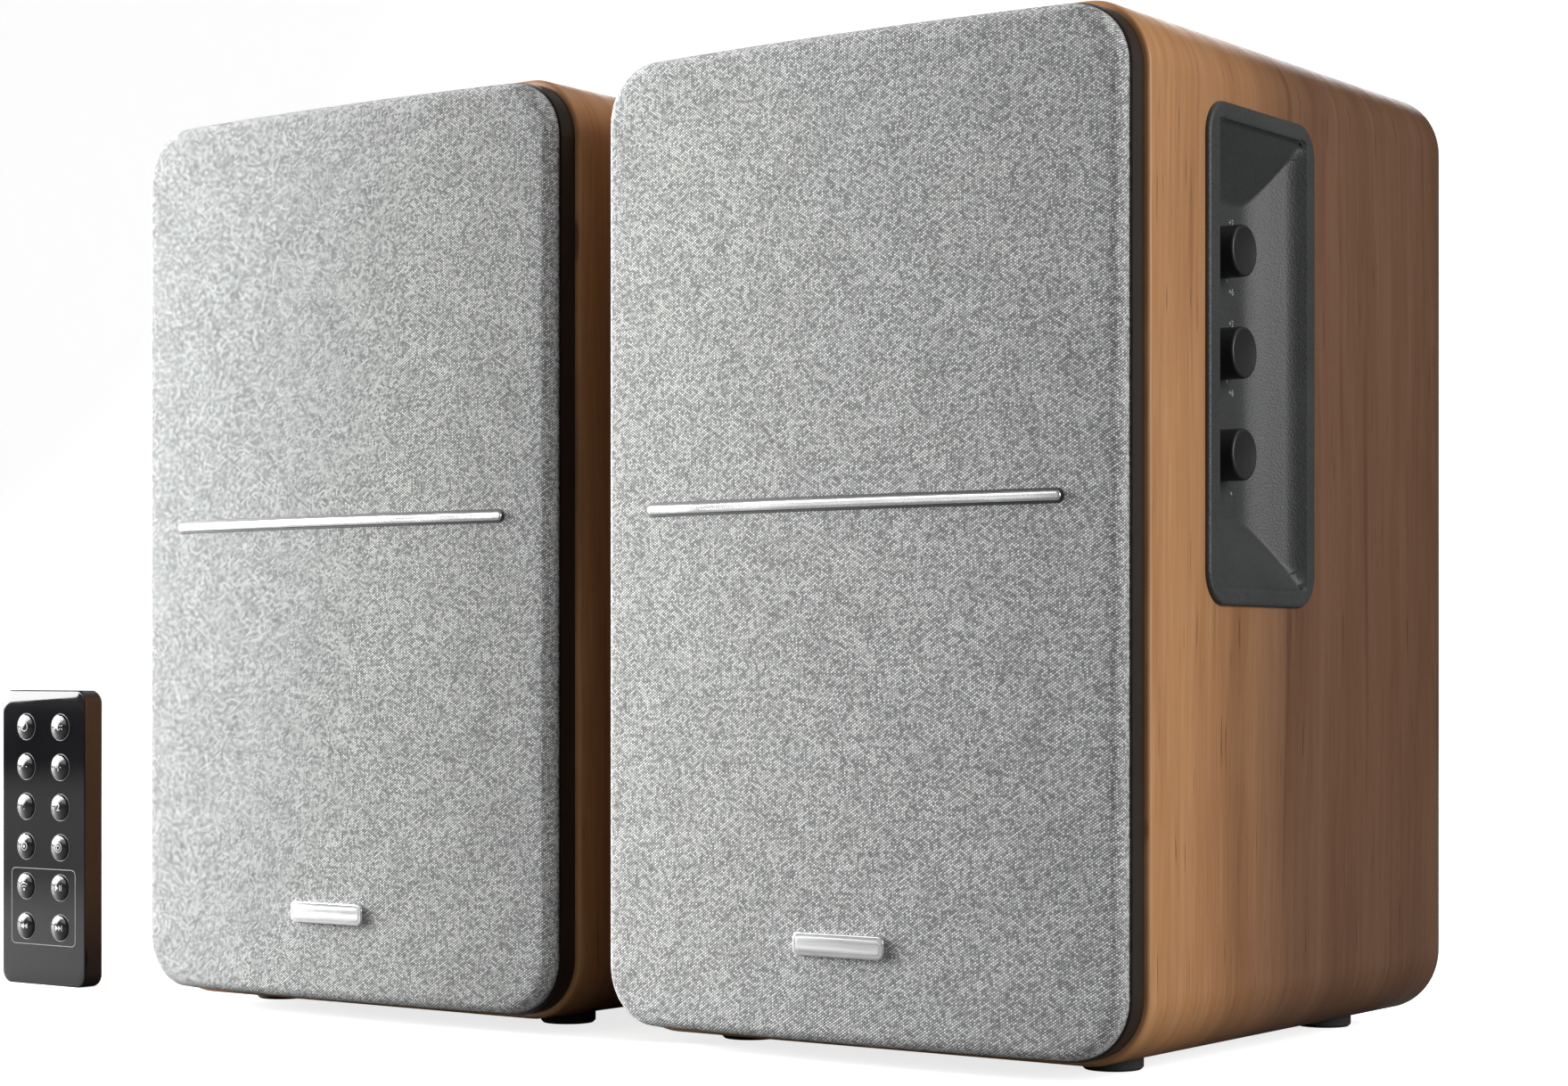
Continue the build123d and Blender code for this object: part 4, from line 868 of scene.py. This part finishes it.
# %% [markdown]
# ## Control panel
#
# The panel is one moulding: a raised rim round a deep scoop whose ends slope up and whose rear wall
# curves up in a long lip. It is treated as a height map. Each wall is a plain formula for how deep the
# scoop may be at a place, and the scoop is the shallowest of them, blended a little so that the corners
# are soft, as a mould tool leaves them. The slab function then gives it its rolled outer edge.

# %% Control panel form
PANEL_PROUD = panel_high.x - cabinet_high.x
PANEL_SIZE = Vector((panel_high.y - panel_low.y, panel_high.z - panel_low.z))
SCOOP_WIDE, SCOOP_TALL, SCOOP_DEEP = 42.4 * MM, 105.6 * MM, 10.5 * MM
END_RUN = 16.3 * MM
END_STEP = 0.9 * MM
LIP_RUN, LIP_DROP = 1.4 * MM, 3.0 * MM
FLAT_END = 0.62 * SCOOP_WIDE
SLOPE_RUN = SCOOP_WIDE - LIP_RUN - FLAT_END


def rear_slope():
    """Places along the curved rear wall: (distance from the front wall, depth)."""
    a = Vector((FLAT_END, SCOOP_DEEP))
    b = a + Vector((0.4 * SLOPE_RUN, 0))
    d = Vector((SCOOP_WIDE - LIP_RUN, LIP_DROP))
    c = d + Vector((-0.3 * SLOPE_RUN, 0.22 * SLOPE_RUN))
    found = []
    for step in range(33):
        t = step / 32
        found.append(a * (1 - t) ** 3 + b * 3 * t * (1 - t) ** 2 + c * 3 * t * t * (1 - t) + d * t**3)
    return found + [Vector((SCOOP_WIDE, 0.0))]


slope_points = rear_slope()


def rear_depth(across_scoop):
    """Depth of the rear wall at a distance from the front wall."""
    for near, far in zip(slope_points, slope_points[1:]):
        if across_scoop <= far.x:
            share = max((across_scoop - near.x) / (far.x - near.x), 0.0) if across_scoop > near.x else 0.0
            return near.y + (far.y - near.y) * share
    return 0.0


def soft_least(a, b, blend):
    """The smaller of two values, with a rounded meeting."""
    share = max(blend - abs(a - b), 0.0) / blend
    return min(a, b) - share * share * blend / 4


def scoop(u, v):
    """How far the panel's face stands out from the wood: its rim, less the scoop."""
    from_front = u + SCOOP_WIDE / 2
    front_wall = from_front * 7.0
    from_end = SCOOP_TALL / 2 - abs(v)
    end_wall = min(from_end * 3.0, END_STEP + from_end * (SCOOP_DEEP - END_STEP) / END_RUN)
    deep = soft_least(end_wall, rear_depth(from_front), 0.12 * MM)
    deep = soft_least(deep, SCOOP_DEEP, 0.8 * MM)
    deep = soft_least(deep, front_wall, 0.9 * MM)
    if from_front <= 0 or from_front >= SCOOP_WIDE or abs(v) >= SCOOP_TALL / 2:
        deep = 0.0
    return PANEL_PROUD - max(deep, 0.0)


def facing_right(x, middle_y, middle_z):
    """Placement for slabs on the right-hand side: u is Y, v is Z, height is towards +X."""
    return lambda u, v, high: Vector((x + high, middle_y + u, middle_z + v))


panel_place = facing_right(cabinet_high.x, panel_middle.y, panel_middle.z)
panel = soft_slab(
    "moulded_control_panel", PANEL_SIZE, 8 * MM, 0.9 * MM, -0.4 * MM,
    panel_place, scoop, (10, 96, 220), 4 * MM,
)
solidify(panel, 0.9 * MM)
shade_by_angle(panel, 50)
paint(panel, charcoal)
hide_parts("control_panel")
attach(panel, "active_speaker")
print("panel faces", len(panel.data.polygons))

# %% [markdown]
# ## Knobs
#
# A knob is turned: one profile spun about its shaft's axis. Three things make it read as a real moulding:
# a small chamfer that catches a line of light, a face sunk by a hair inside it, and a matt grain. The
# pointer is a small dark dimple near the rim. It is a turned cup too, so it turns with its knob.

# %% Lathe helper
def turned(name, profile, centre, axis="-Y", steps=48):
    """A lathe form: (radius, height) pairs turned about an axis through centre, heights along the axis."""
    points = []
    for radius, high in profile:
        for step in range(steps):
            turn = math.tau * step / steps
            u, v = radius * math.cos(turn), radius * math.sin(turn)
            offsets = {"-Y": (u, -high, v), "+Y": (-u, high, v), "+X": (high, u, v)}
            points.append(centre + Vector(offsets[axis]))
    faces = grid_faces(len(profile), steps, closed=True)
    if profile[0][0] > 1e-7:
        faces.append(tuple(reversed(range(steps))))
    if profile[-1][0] > 1e-7:
        faces.append(tuple(range(len(points) - steps, len(points))))
    piece = mesh_piece(name, points, faces)
    welded = bmesh.new()
    welded.from_mesh(piece.data)
    bmesh.ops.remove_doubles(welded, verts=welded.verts, dist=1e-7)
    bmesh.ops.recalc_face_normals(welded, faces=welded.faces)
    welded.to_mesh(piece.data)
    welded.free()
    return piece


# %% Knobs
POINTER_ANGLE = {"treble": 30, "bass": 30, "volume": 212}
SHAFT_R = 3.0 * MM
CHAMFER_WIDE, CHAMFER_TALL = 0.55 * MM, 0.7 * MM
FACE_SUNK = 0.08 * MM
POINTER_FROM_EDGE = 1.45 * MM
POINTER_CUP = tuple(
    (wide * MM, high * MM)
    for wide, high in ((0.0, 0.01), (0.30, 0.01), (0.36, 0.05), (0.46, 0.03), (0.46, -0.1))
)
for knob, angle in POINTER_ANGLE.items():
    low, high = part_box(f"{knob}_knob")
    axle = Vector(joints[f"{knob}_turn"]["pos_m"])
    radius = (high.z - low.z) / 2
    face_x = high.x
    back_x = cabinet_high.x + PANEL_PROUD - SCOOP_DEEP - 0.4 * MM
    start = Vector((low.x, axle.y, axle.z))
    reach, cap_from = face_x - low.x, max(back_x - low.x, 0.0)
    shoulder = reach - CHAMFER_TALL
    profile = [(0.0, 0.0), (SHAFT_R, 0.0), (SHAFT_R, cap_from), (radius, cap_from), (radius, shoulder)]
    for lean in (20, 40, 60, 80):
        turn = math.radians(lean)
        inward = CHAMFER_WIDE * (1 - math.cos(turn))
        profile.append((radius - inward, shoulder + CHAMFER_TALL * math.sin(turn)))
    profile += [(radius - 0.8 * MM, reach), (radius - 0.95 * MM, reach - FACE_SUNK), (0.0, reach - FACE_SUNK)]
    body = turned(f"{knob}_turned_knob", profile, start, "+X", 96)
    shade_by_angle(body, 38)
    paint(body, knob_black)
    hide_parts(f"{knob}_knob")
    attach(body, f"{knob}_knob")
    ray = Vector((0, math.cos(math.radians(angle)), math.sin(math.radians(angle))))
    spot = Vector((face_x - FACE_SUNK, axle.y, axle.z)) + ray * (radius - POINTER_FROM_EDGE)
    dimple = turned(f"{knob}_pointer", POINTER_CUP, spot, "+X", 24)
    paint(dimple, tab_black)
    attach(dimple, f"{knob}_knob")
    print(knob, "knob radius, mm", round(radius / MM, 2), "length", round(reach / MM, 2))

# %% [markdown]
# ## Printing on the panel
#
# The printing on the scoop's floor is generic: short ticks round each knob and plain plus and minus
# values. Each mark is a very thin raised layer, as pad-printed ink is, made from text or from small
# bars, so it stays crisp from any distance without an image.

# %% Printed marks
INK = 0.03 * MM


def text_piece(name, words, size, place, across_axis, up_axis):
    """Thin raised lettering whose baseline runs along across_axis and whose top points along up_axis."""
    curve = bpy.data.curves.new(name, "FONT")
    curve.body = words
    curve.size = size
    curve.extrude = INK / 2
    curve.align_x = curve.align_y = "CENTER"
    draft = link(bpy.data.objects.new(name + "_draft", curve))
    made = bpy.data.meshes.new_from_object(draft.evaluated_get(bpy.context.evaluated_depsgraph_get()))
    bpy.data.objects.remove(draft)
    out = Vector(across_axis).cross(Vector(up_axis))
    turn = Matrix((across_axis, up_axis, out)).transposed().to_4x4()
    made.transform(Matrix.Translation(place) @ turn)
    return link(bpy.data.objects.new(name, made))


def bars_piece(name, bars, place, across_axis, up_axis, thick=INK):
    """Flat bars, each ((u1, v1), (u2, v2), width), as one thin raised piece."""
    out = Vector(across_axis).cross(Vector(up_axis))
    points, faces = [], []
    for begin, end, wide in bars:
        begin, end = Vector(begin), Vector(end)
        along = (end - begin).normalized()
        side_step = Vector((-along.y, along.x)) * wide / 2
        start = len(points)
        for depth in (0, thick):
            for spot in (begin - side_step, end - side_step, end + side_step, begin + side_step):
                points.append(place + Vector(across_axis) * spot.x + Vector(up_axis) * spot.y + out * depth)
        faces.append(tuple(start + k for k in (3, 2, 1, 0)))
        faces.append(tuple(start + k for k in (4, 5, 6, 7)))
        faces += [(start + k, start + (k + 1) % 4, start + 4 + (k + 1) % 4, start + 4 + k) for k in range(4)]
    return mesh_piece(name, points, faces, smooth=False)


SIDE_AXES = ((0, 1, 0), (0, 0, 1))
TONE_MARKS = ("-6", "+6", "-2", "+2")
for knob, words in (("treble", TONE_MARKS), ("bass", TONE_MARKS), ("volume", ("-", "+"))):
    centre = Vector(joints[f"{knob}_turn"]["pos_m"])
    centre.x = scoop(centre.y - panel_middle.y, 0.0) + cabinet_high.x
    marks = []
    spots = ((-5.6, -8.6), (5.6, -8.6), (-5.6, 7.4), (5.6, 7.4))
    for word, (dy, dz) in zip(words, spots):
        where = centre + Vector((0, dy * MM, dz * MM))
        marks.append(text_piece(f"{knob}_mark_{len(marks)}", word, 2.2 * MM, where, *SIDE_AXES))
    bars = []
    for angle in (-60, -35, 35, 60) if knob != "volume" else (-50,):
        for turn in (angle, 180 - angle):
            ray = Vector((math.cos(math.radians(turn)), math.sin(math.radians(turn))))
            bars.append((ray * 6.6 * MM, ray * 7.5 * MM, 0.28 * MM))
    marks.append(bars_piece(f"{knob}_ticks", bars, centre, *SIDE_AXES))
    for mark in marks:
        paint(mark, printed_grey)
        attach(mark, "active_speaker")
    print(knob, "marks", len(marks))

# %% [markdown]
# ## Remote
#
# The remote is a dark case with a thin glossy plate on its face, pierced by twelve domed keys. High
# gloss is mostly about what it reflects, so the plate is nearly black with a smooth clear coat and
# faint fingerprints in its roughness. Each key is a turned dome with a fine ring round it. Their
# symbols are plain generic ones: power, mute, less, more, two inputs, round and ringed sockets,
# wireless arcs, play, back and forward.

# %% Gloss material
def gloss_black(name, colour, roughness):
    """Polished plastic with a clear coat and faint smears."""
    material, tree, shader = finish_tree(name)
    place = add_node(tree, "ShaderNodeTexCoord").outputs["Object"]
    fingerprints = {"Vector": place, "Scale": 70.0, "Detail": 5.0}
    smear = add_node(tree, "ShaderNodeTexNoise", fingerprints).outputs["Fac"]
    tree.links.new(stretch(tree, smear, 0.35, 0.75, roughness, roughness + 0.03), shader.inputs["Roughness"])
    lighter = tuple(c * 1.6 for c in colour)
    tree.links.new(blend_colours(tree, smear, (*colour, 1), (*lighter, 1)), shader.inputs["Base Color"])
    shader.inputs["Coat Weight"].default_value = 0.12
    shader.inputs["Coat Roughness"].default_value = 0.03
    return material


remote_gloss = gloss_black("remote_gloss", (0.006, 0.006, 0.007), 0.03)
key_gloss = gloss_black("key_gloss", (0.008, 0.008, 0.009), 0.12)

# %% Remote face and keys
face_low, face_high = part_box("remote_face")
face_middle = (face_low + face_high) / 2
KEY_NAMES = [b.removeprefix("key_") for b in frame["bodies"] if b.startswith("key_")]
key_middles = {}
for key in KEY_NAMES:
    low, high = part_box(f"key_{key}")
    key_middles[key] = Vector(((low.x + high.x) / 2, low.y, (low.z + high.z) / 2))


KEY_R, KEY_DOME = 3.5 * MM, 0.62 * MM
plate = soft_slab(
    "remote_glass", Vector((face_high.x - face_low.x, face_high.z - face_low.z)), 3.5 * MM, 0.45 * MM, 0.0,
    facing_front(face_middle.x, face_high.y, face_middle.z),
    lambda u, v: face_high.y - face_low.y, (8, 12, 20),
)
cutters = []
for key, centre in key_middles.items():
    hole_centre = Vector((centre.x, face_high.y + 1 * MM, centre.z))
    cutters.append(turned(f"hole_{key}", [(KEY_R + 0.13 * MM, 0), (KEY_R + 0.13 * MM, 4 * MM)], hole_centre))
holes = cutters[0]
joined = {"active_object": holes, "selected_editable_objects": cutters, "selected_objects": cutters}
with bpy.context.temp_override(**joined):
    bpy.ops.object.join()
cut = plate.modifiers.new("key_holes", "BOOLEAN")
cut.operation, cut.solver, cut.object = "DIFFERENCE", "EXACT", holes
apply_all(plate)
bpy.data.objects.remove(holes)
shade_by_angle(plate, 30)
paint(plate, remote_gloss)
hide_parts("remote_face")
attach(plate, "remote")


def dome_height(radius):
    """How far the key's dome stands out at a distance from its middle."""
    ball = (KEY_R**2 + KEY_DOME**2) / (2 * KEY_DOME)
    return KEY_DOME - ball + math.sqrt(ball**2 - min(radius, KEY_R) ** 2)


for key, centre in key_middles.items():
    foot = centre + Vector((0, 2.4 * MM, 0))
    rise = 2.4 * MM - KEY_DOME
    profile = [(KEY_R, 0.0), (KEY_R, rise - 0.12 * MM), (KEY_R - 0.05 * MM, rise - 0.03 * MM)]
    profile += [(KEY_R * (1 - k / 10), rise + dome_height(KEY_R * (1 - k / 10))) for k in range(1, 11)]
    cap = turned(f"{key}_key_dome", profile, foot)
    shade_by_angle(cap, 40)
    paint(cap, key_gloss)
    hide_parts(f"key_{key}")
    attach(cap, f"key_{key}")
    ring_spot = Vector((centre.x, face_low.y, centre.z))
    ring_in, ring_out, ring_root = KEY_R + 0.20 * MM, KEY_R + 0.36 * MM, -0.1 * MM
    ring_profile = [(ring_in, ring_root), (ring_in, INK), (ring_out, INK), (ring_out, ring_root)]
    ring = turned(f"{key}_key_ring", ring_profile, ring_spot)
    ring.data.polygons.foreach_set("use_smooth", [False] * len(ring.data.polygons))
    paint(ring, printed_grey)
    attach(ring, "remote")
print("keys", len(key_middles))

# %% Key symbols
def arc_bars(centre, radius, begin, end, wide, steps=12):
    """An arc as short bars, in degrees."""
    found = []
    for step in range(steps):
        ends = []
        for k in (step, step + 1):
            turn = math.radians(begin + (end - begin) * k / steps)
            ends.append((centre[0] + radius * math.cos(turn), centre[1] + radius * math.sin(turn)))
        found.append((ends[0], ends[1], wide))
    return found


def wedge(tip_x, base_x, half, wide):
    """A filled triangle pointing along X, as thin upright bars."""
    count = 9
    found = []
    for k in range(count):
        share = (k + 0.5) / count
        x = base_x + (tip_x - base_x) * share
        found.append(((x, -half * (1 - share)), (x, half * (1 - share)), abs(tip_x - base_x) / count * 1.05))
    return found


LINE = 0.24
SYMBOLS = {
    "power": arc_bars((0, 0), 1.25, 125, 415, LINE) + [((0, 0.3), (0, 1.6), LINE)],
    "mute": wedge(-1.1, 0.1, 1.1, LINE) + [
        ((-1.4, -0.4), (-1.4, 0.4), 0.5), ((0.4, 0.7), (1.6, -0.7), LINE), ((0.4, -0.7), (1.6, 0.7), LINE),
    ],
    "volume_down": [((-1.1, 0), (1.1, 0), LINE)],
    "volume_up": [((-1.1, 0), (1.1, 0), LINE), ((0, -1.1), (0, -0.12), LINE), ((0, 0.12), (0, 1.1), LINE)],
    "optical": arc_bars((0, 0), 1.1, 0, 360, LINE, 20) + arc_bars((0, 0), 0.3, 0, 360, 0.3),
    "coaxial": arc_bars((0, 0), 1.3, 0, 360, LINE, 20) + arc_bars((0, 0), 0.65, 0, 360, LINE, 16),
    "wireless": (
        arc_bars((0, -1.0), 0.25, 0, 360, 0.3)
        + arc_bars((0, -1.0), 1.1, 45, 135, LINE)
        + arc_bars((0, -1.0), 1.9, 45, 135, LINE)
    ),
    "play": wedge(0.1, -1.2, 0.9, LINE) + [
        ((0.6, -0.8), (0.6, 0.8), 0.32), ((1.25, -0.8), (1.25, 0.8), 0.32),
    ],
    "previous": wedge(-1.4, -0.1, 0.8, LINE) + wedge(0.0, 1.3, 0.8, LINE),
    "next": wedge(0.1, -1.2, 0.8, LINE) + wedge(1.2, 0.1, 0.8, LINE) + [((1.45, -0.8), (1.45, 0.8), 0.28)],
}
FRONT_AXES = ((1, 0, 0), (0, 0, 1))


def drape_on_dome(piece, centre):
    """Press a flat symbol onto its key's dome."""
    for point in piece.data.vertices:
        away_from_middle = math.hypot(point.co.x - centre.x, point.co.z - centre.z)
        point.co.y += KEY_DOME - dome_height(away_from_middle)
    piece.data.update()
    return piece


for key, centre in key_middles.items():
    spot = centre + Vector((0, -0.005 * MM, 0))
    if key in SYMBOLS:
        bars = [tuple(Vector(p) * MM for p in bar[:2]) + (bar[2] * MM,) for bar in SYMBOLS[key]]
        symbol = bars_piece(f"{key}_symbol", bars, spot, *FRONT_AXES)
    else:
        symbol = text_piece(f"{key}_symbol", key[-1], 3.0 * MM, spot, *FRONT_AXES)
    drape_on_dome(symbol, centre)
    paint(symbol, printed_white)
    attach(symbol, f"key_{key}")
print("symbols", sorted(SYMBOLS))

# %% [markdown]
# A fine printed line groups the lower four keys. It follows a rounded outline, so it is made the same
# way as the key rings, from an outline and a thin ribbon.

# %% Outline round the lower keys
group = [key_middles[k] for k in ("wireless", "play", "previous", "next")]
group_low = Vector((min(p.x for p in group), min(p.z for p in group)))
group_high = Vector((max(p.x for p in group), max(p.z for p in group)))
group_middle = (group_low + group_high) / 2
group_size = group_high - group_low + Vector((12.6, 10.4)) * MM
ribbon = []
for inward in (0.0, 0.16 * MM):
    for point, out in rounded_outline(group_size.x, group_size.y, 1.6 * MM, 8):
        flat = group_middle + point - out * inward
        ribbon.append(Vector((flat.x, face_low.y - INK, flat.y)))
around = len(ribbon) // 2
outline_piece = mesh_piece("key_group_outline", ribbon, grid_faces(2, around, closed=True), smooth=False)
solidify(outline_piece, INK)
paint(outline_piece, printed_grey)
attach(outline_piece, "remote")
print("outline size, mm", tuple(round(v / MM, 1) for v in group_size))

# %% [markdown]
# ## Screws
#
# Real pan-head screws have a domed head with a cross cut in it. A head is a round patch of points whose
# height drops inside the cross, so one formula makes it. The places are read from the frame: the plain
# screws are found as separate islands of mesh.

# %% Screws
def islands(obj):
    """Box of each separate shell in a mesh."""
    shell = bmesh.new()
    shell.from_mesh(obj.data)
    bmesh.ops.remove_doubles(shell, verts=shell.verts, dist=1e-6)
    left, found = set(shell.verts), []
    while left:
        reach, group = [left.pop()], []
        while reach:
            vertex = reach.pop()
            group.append(vertex.co.copy())
            for edge in vertex.link_edges:
                other = edge.other_vert(vertex)
                if other in left:
                    left.discard(other)
                    reach.append(other)
        low = Vector([min(c[k] for c in group) for k in range(3)])
        high = Vector([max(c[k] for c in group) for k in range(3)])
        found.append((low, high))
    shell.free()
    return found


HEAD_R, HEAD_HIGH, SHANK_R, SLOT_HALF, SLOT_LONG = 2.9 * MM, 1.6 * MM, 1.6 * MM, 0.32 * MM, 1.55 * MM


def head_height(u, v):
    """A domed head with a cross cut in it."""
    share = min(math.hypot(u, v) / HEAD_R, 1.0)
    high = HEAD_HIGH * (0.35 + 0.65 * math.sqrt(max(1 - share**2.4, 0.0)))
    short, long = sorted((abs(u), abs(v)))
    inside = min(SLOT_HALF - short, SLOT_LONG - long) + 0.12 * MM
    return high - max(0.0, min(inside / (0.12 * MM), 1.0)) * 0.75 * MM


for side, body in SIDES.items():
    points, faces = [], []
    chance = random.Random(7)
    for low, high in islands(nodes[f"{side}_screws"]):
        rear = (low.y + high.y) / 2 > middles[side].y
        facing = 1 if rear else -1
        top = high.y if rear else low.y
        centre = Vector(((low.x + high.x) / 2, top - facing * HEAD_HIGH, (low.z + high.z) / 2))
        spin = chance.uniform(0, math.tau)
        steps, rings = 48, 14
        start = len(points)
        for ring in range(rings, 0, -1):
            for step in range(steps):
                turn = math.tau * step / steps
                u, v = HEAD_R * ring / rings * math.cos(turn), HEAD_R * ring / rings * math.sin(turn)
                slot_u = u * math.cos(spin) + v * math.sin(spin)
                slot_v = v * math.cos(spin) - u * math.sin(spin)
                points.append(centre + Vector((u, facing * head_height(slot_u, slot_v), v)))
        faces += grid_faces(rings, steps, closed=True, start=start)
        points.append(centre + Vector((0, facing * head_height(0, 0), 0)))
        inner = start + (rings - 1) * steps
        faces += [(inner + k, inner + (k + 1) % steps, len(points) - 1) for k in range(steps)]
        below_start = len(points)
        for radius, drop in ((HEAD_R, 0.0), (SHANK_R, 0.0), (SHANK_R, 8.5 * MM)):
            for step in range(steps):
                turn = math.tau * step / steps
                x, z = radius * math.cos(turn), radius * math.sin(turn)
                points.append(centre + Vector((x, -facing * drop, z)))
        faces += grid_faces(3, steps, closed=True, start=below_start)
        faces += [
            (start + k, start + (k + 1) % steps, below_start + (k + 1) % steps, below_start + k)
            for k in range(steps)
        ]
        faces.append(tuple(below_start + 2 * steps + k for k in range(steps)))
    screws = mesh_piece(f"{side}_pan_screws", points, faces)
    shade_by_angle(screws, 40)
    paint(screws, screw_steel)
    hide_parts(f"{side}_screws")
    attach(screws, body)
    print(screws.name, "faces", len(screws.data.polygons))

# %% [markdown]
# ## Rear sockets and the plain pieces
#
# Coloured collars tell the phono sockets apart, red for right and white for left, with orange for the
# digital one. They are small turned rings on top of the moulded block.

# %% Socket collars
mounts = {m["name"]: m for m in frame["record"]["mounts"]}
rear_face = cabinet_high.y
collar_colours = {
    "line_1_left": ring_white, "line_2_left": ring_white,
    "line_1_right": ring_red, "line_2_right": ring_red,
    "coaxial": ring_orange,
}
COLLAR = tuple(
    (wide * MM, high * MM)
    for wide, high in ((4.2, -0.3), (5.9, -0.3), (5.9, 0.7), (5.5, 1.1), (4.7, 1.1), (4.2, 0.8))
)
SOCKET_PLATE = 2.0 * MM
jack_middles = {}
for name, colour in collar_colours.items():
    spot = Vector(mounts[f"{name}_sleeve"]["pos_m"])
    jack_middles[name] = spot
    base = Vector((spot.x, rear_face + SOCKET_PLATE, spot.z))
    collar = turned(f"{name}_collar", COLLAR, base, "+Y")
    shade_by_angle(collar, 30)
    paint(collar, colour)
    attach(collar, "active_speaker")
print("collars", len(collar_colours))

# %% [markdown]
# The rest of the model's pieces already have their right shape, so they only need their finish. Some
# hold more than one finish: the treble unit has a silk dome on a plastic plate, and the circuit board
# carries bare metal and coloured parts. Their faces are sorted by where they are.

# %% More finishes
def flecked(name, colour, other, roughness, scale, metallic=0.0, depth=0.03):
    """A matt surface with fine flecks of a second colour, for paper, silk, laminate and windings."""
    material, tree, shader = finish_tree(name)
    place = add_node(tree, "ShaderNodeTexCoord").outputs["Object"]
    specks = {"Vector": place, "Scale": scale, "Detail": 5.0}
    fleck = add_node(tree, "ShaderNodeTexNoise", specks).outputs["Fac"]
    tone = blend_colours(tree, stretch(tree, fleck, 0.35, 0.65), (*colour, 1), (*other, 1))
    tree.links.new(tone, shader.inputs["Base Color"])
    rough = stretch(tree, fleck, 0.3, 0.7, roughness - 0.06, roughness + 0.06)
    tree.links.new(rough, shader.inputs["Roughness"])
    bump = add_node(tree, "ShaderNodeBump", {"Height": fleck, "Strength": 1.0, "Distance": depth * MM})
    tree.links.new(bump.outputs[0], shader.inputs["Normal"])
    shader.inputs["Metallic"].default_value = metallic
    return material


cone_paper = flecked("cone_paper", (0.035, 0.035, 0.037), (0.07, 0.07, 0.072), 0.75, 900.0, depth=0.08)
silk = flecked("silk_dome", (0.05, 0.045, 0.04), (0.09, 0.08, 0.07), 0.55, 2600.0)
board_green = flecked("board_green", (0.01, 0.07, 0.025), (0.015, 0.11, 0.04), 0.35, 240.0, depth=0.01)
fin_metal = satin_metal("fin_aluminium", (0.62, 0.63, 0.64), 0.35)
can_blue = flecked("capacitor_sleeve", (0.015, 0.02, 0.05), (0.02, 0.03, 0.07), 0.35, 500.0, depth=0.005)
core_iron = flecked("transformer_core", (0.10, 0.09, 0.08), (0.16, 0.15, 0.13), 0.5, 800.0, 0.6)
winding = flecked("copper_winding", (0.55, 0.22, 0.08), (0.75, 0.36, 0.15), 0.35, 1500.0, 0.8)


def sort_faces(node, materials, rule):
    """Give a model piece several finishes: rule(face middle) says which slot a face takes."""
    obj = nodes[node]
    paint(obj, *materials)
    for face in obj.data.polygons:
        face.material_index = rule(face.center)


def near_jack(spot):
    """Which finish a face of the rear sockets takes: sleeves are nickel, the rest is black."""
    for middle in jack_middles.values():
        off_axis = math.hypot(spot.x - middle.x, spot.z - middle.z)
        if off_axis < 4.3 * MM and spot.y > rear_face + SOCKET_PLATE + 0.05 * MM:
            return 1
    pins = mounts["mains_inlet"]["pos_m"]
    inside_inlet = abs(spot.z - pins[2]) < 1.4 * MM and 3.0 * MM < abs(spot.x - pins[0]) < 5.6 * MM
    return 1 if inside_inlet and spot.y < rear_face + 2 * MM and spot.y > rear_face - 9 * MM else 0


PLAIN = {
    "front_baffle": baffle_brown, "rear_panel": rear_black, "port_tube": port_black,
    "woofer_basket": basket_coat, "woofer_magnet": magnet_grey, "woofer_surround": roll_rubber,
    "feet": foot_rubber,
    "terminal_block": socket_black, "woofer_cone": cone_paper, "grille_frame": frame_black,
    "terminal_tab_black": tab_black, "terminal_tab_red": tab_red,
}
for side in SIDES:
    for kind, material in PLAIN.items():
        paint(nodes[f"{side}_{kind}"], material)
    low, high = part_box(f"{side}_tweeter")
    tweeter_middle = (low + high) / 2

    def dome_or_plate(spot):
        off_axis = math.hypot(spot.x - tweeter_middle.x, spot.z - tweeter_middle.z)
        return 1 if off_axis < 6.6 * MM and spot.y < low.y + 4 * MM else 0

    sort_faces(f"{side}_tweeter", (tweeter_plate, silk), dome_or_plate)
for node, material in (
    ("power_switch", tab_black), ("control_board", board_green),
    ("remote_case", shell_black), ("remote_board", board_green),
    ("battery_drawer", shell_black), ("coin_cell", nickel),
):
    paint(nodes[node], material)
sort_faces("rear_sockets", (socket_black, nickel), near_jack)

board_low, board_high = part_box("amplifier_board")
board_middle_x = (board_low.x + board_high.x) / 2
sort_faces(
    "amplifier_board", (board_green, fin_metal, can_blue),
    lambda spot: 0 if spot.y > board_high.y - 1.7 * MM else (1 if spot.x < board_middle_x - 5 * MM else 2),
)
core_low, core_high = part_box("transformer")
core_y = (core_low.y + core_high.y) / 2
sort_faces("transformer", (core_iron, winding), lambda spot: 1 if abs(spot.y - core_y) > 11.2 * MM else 0)
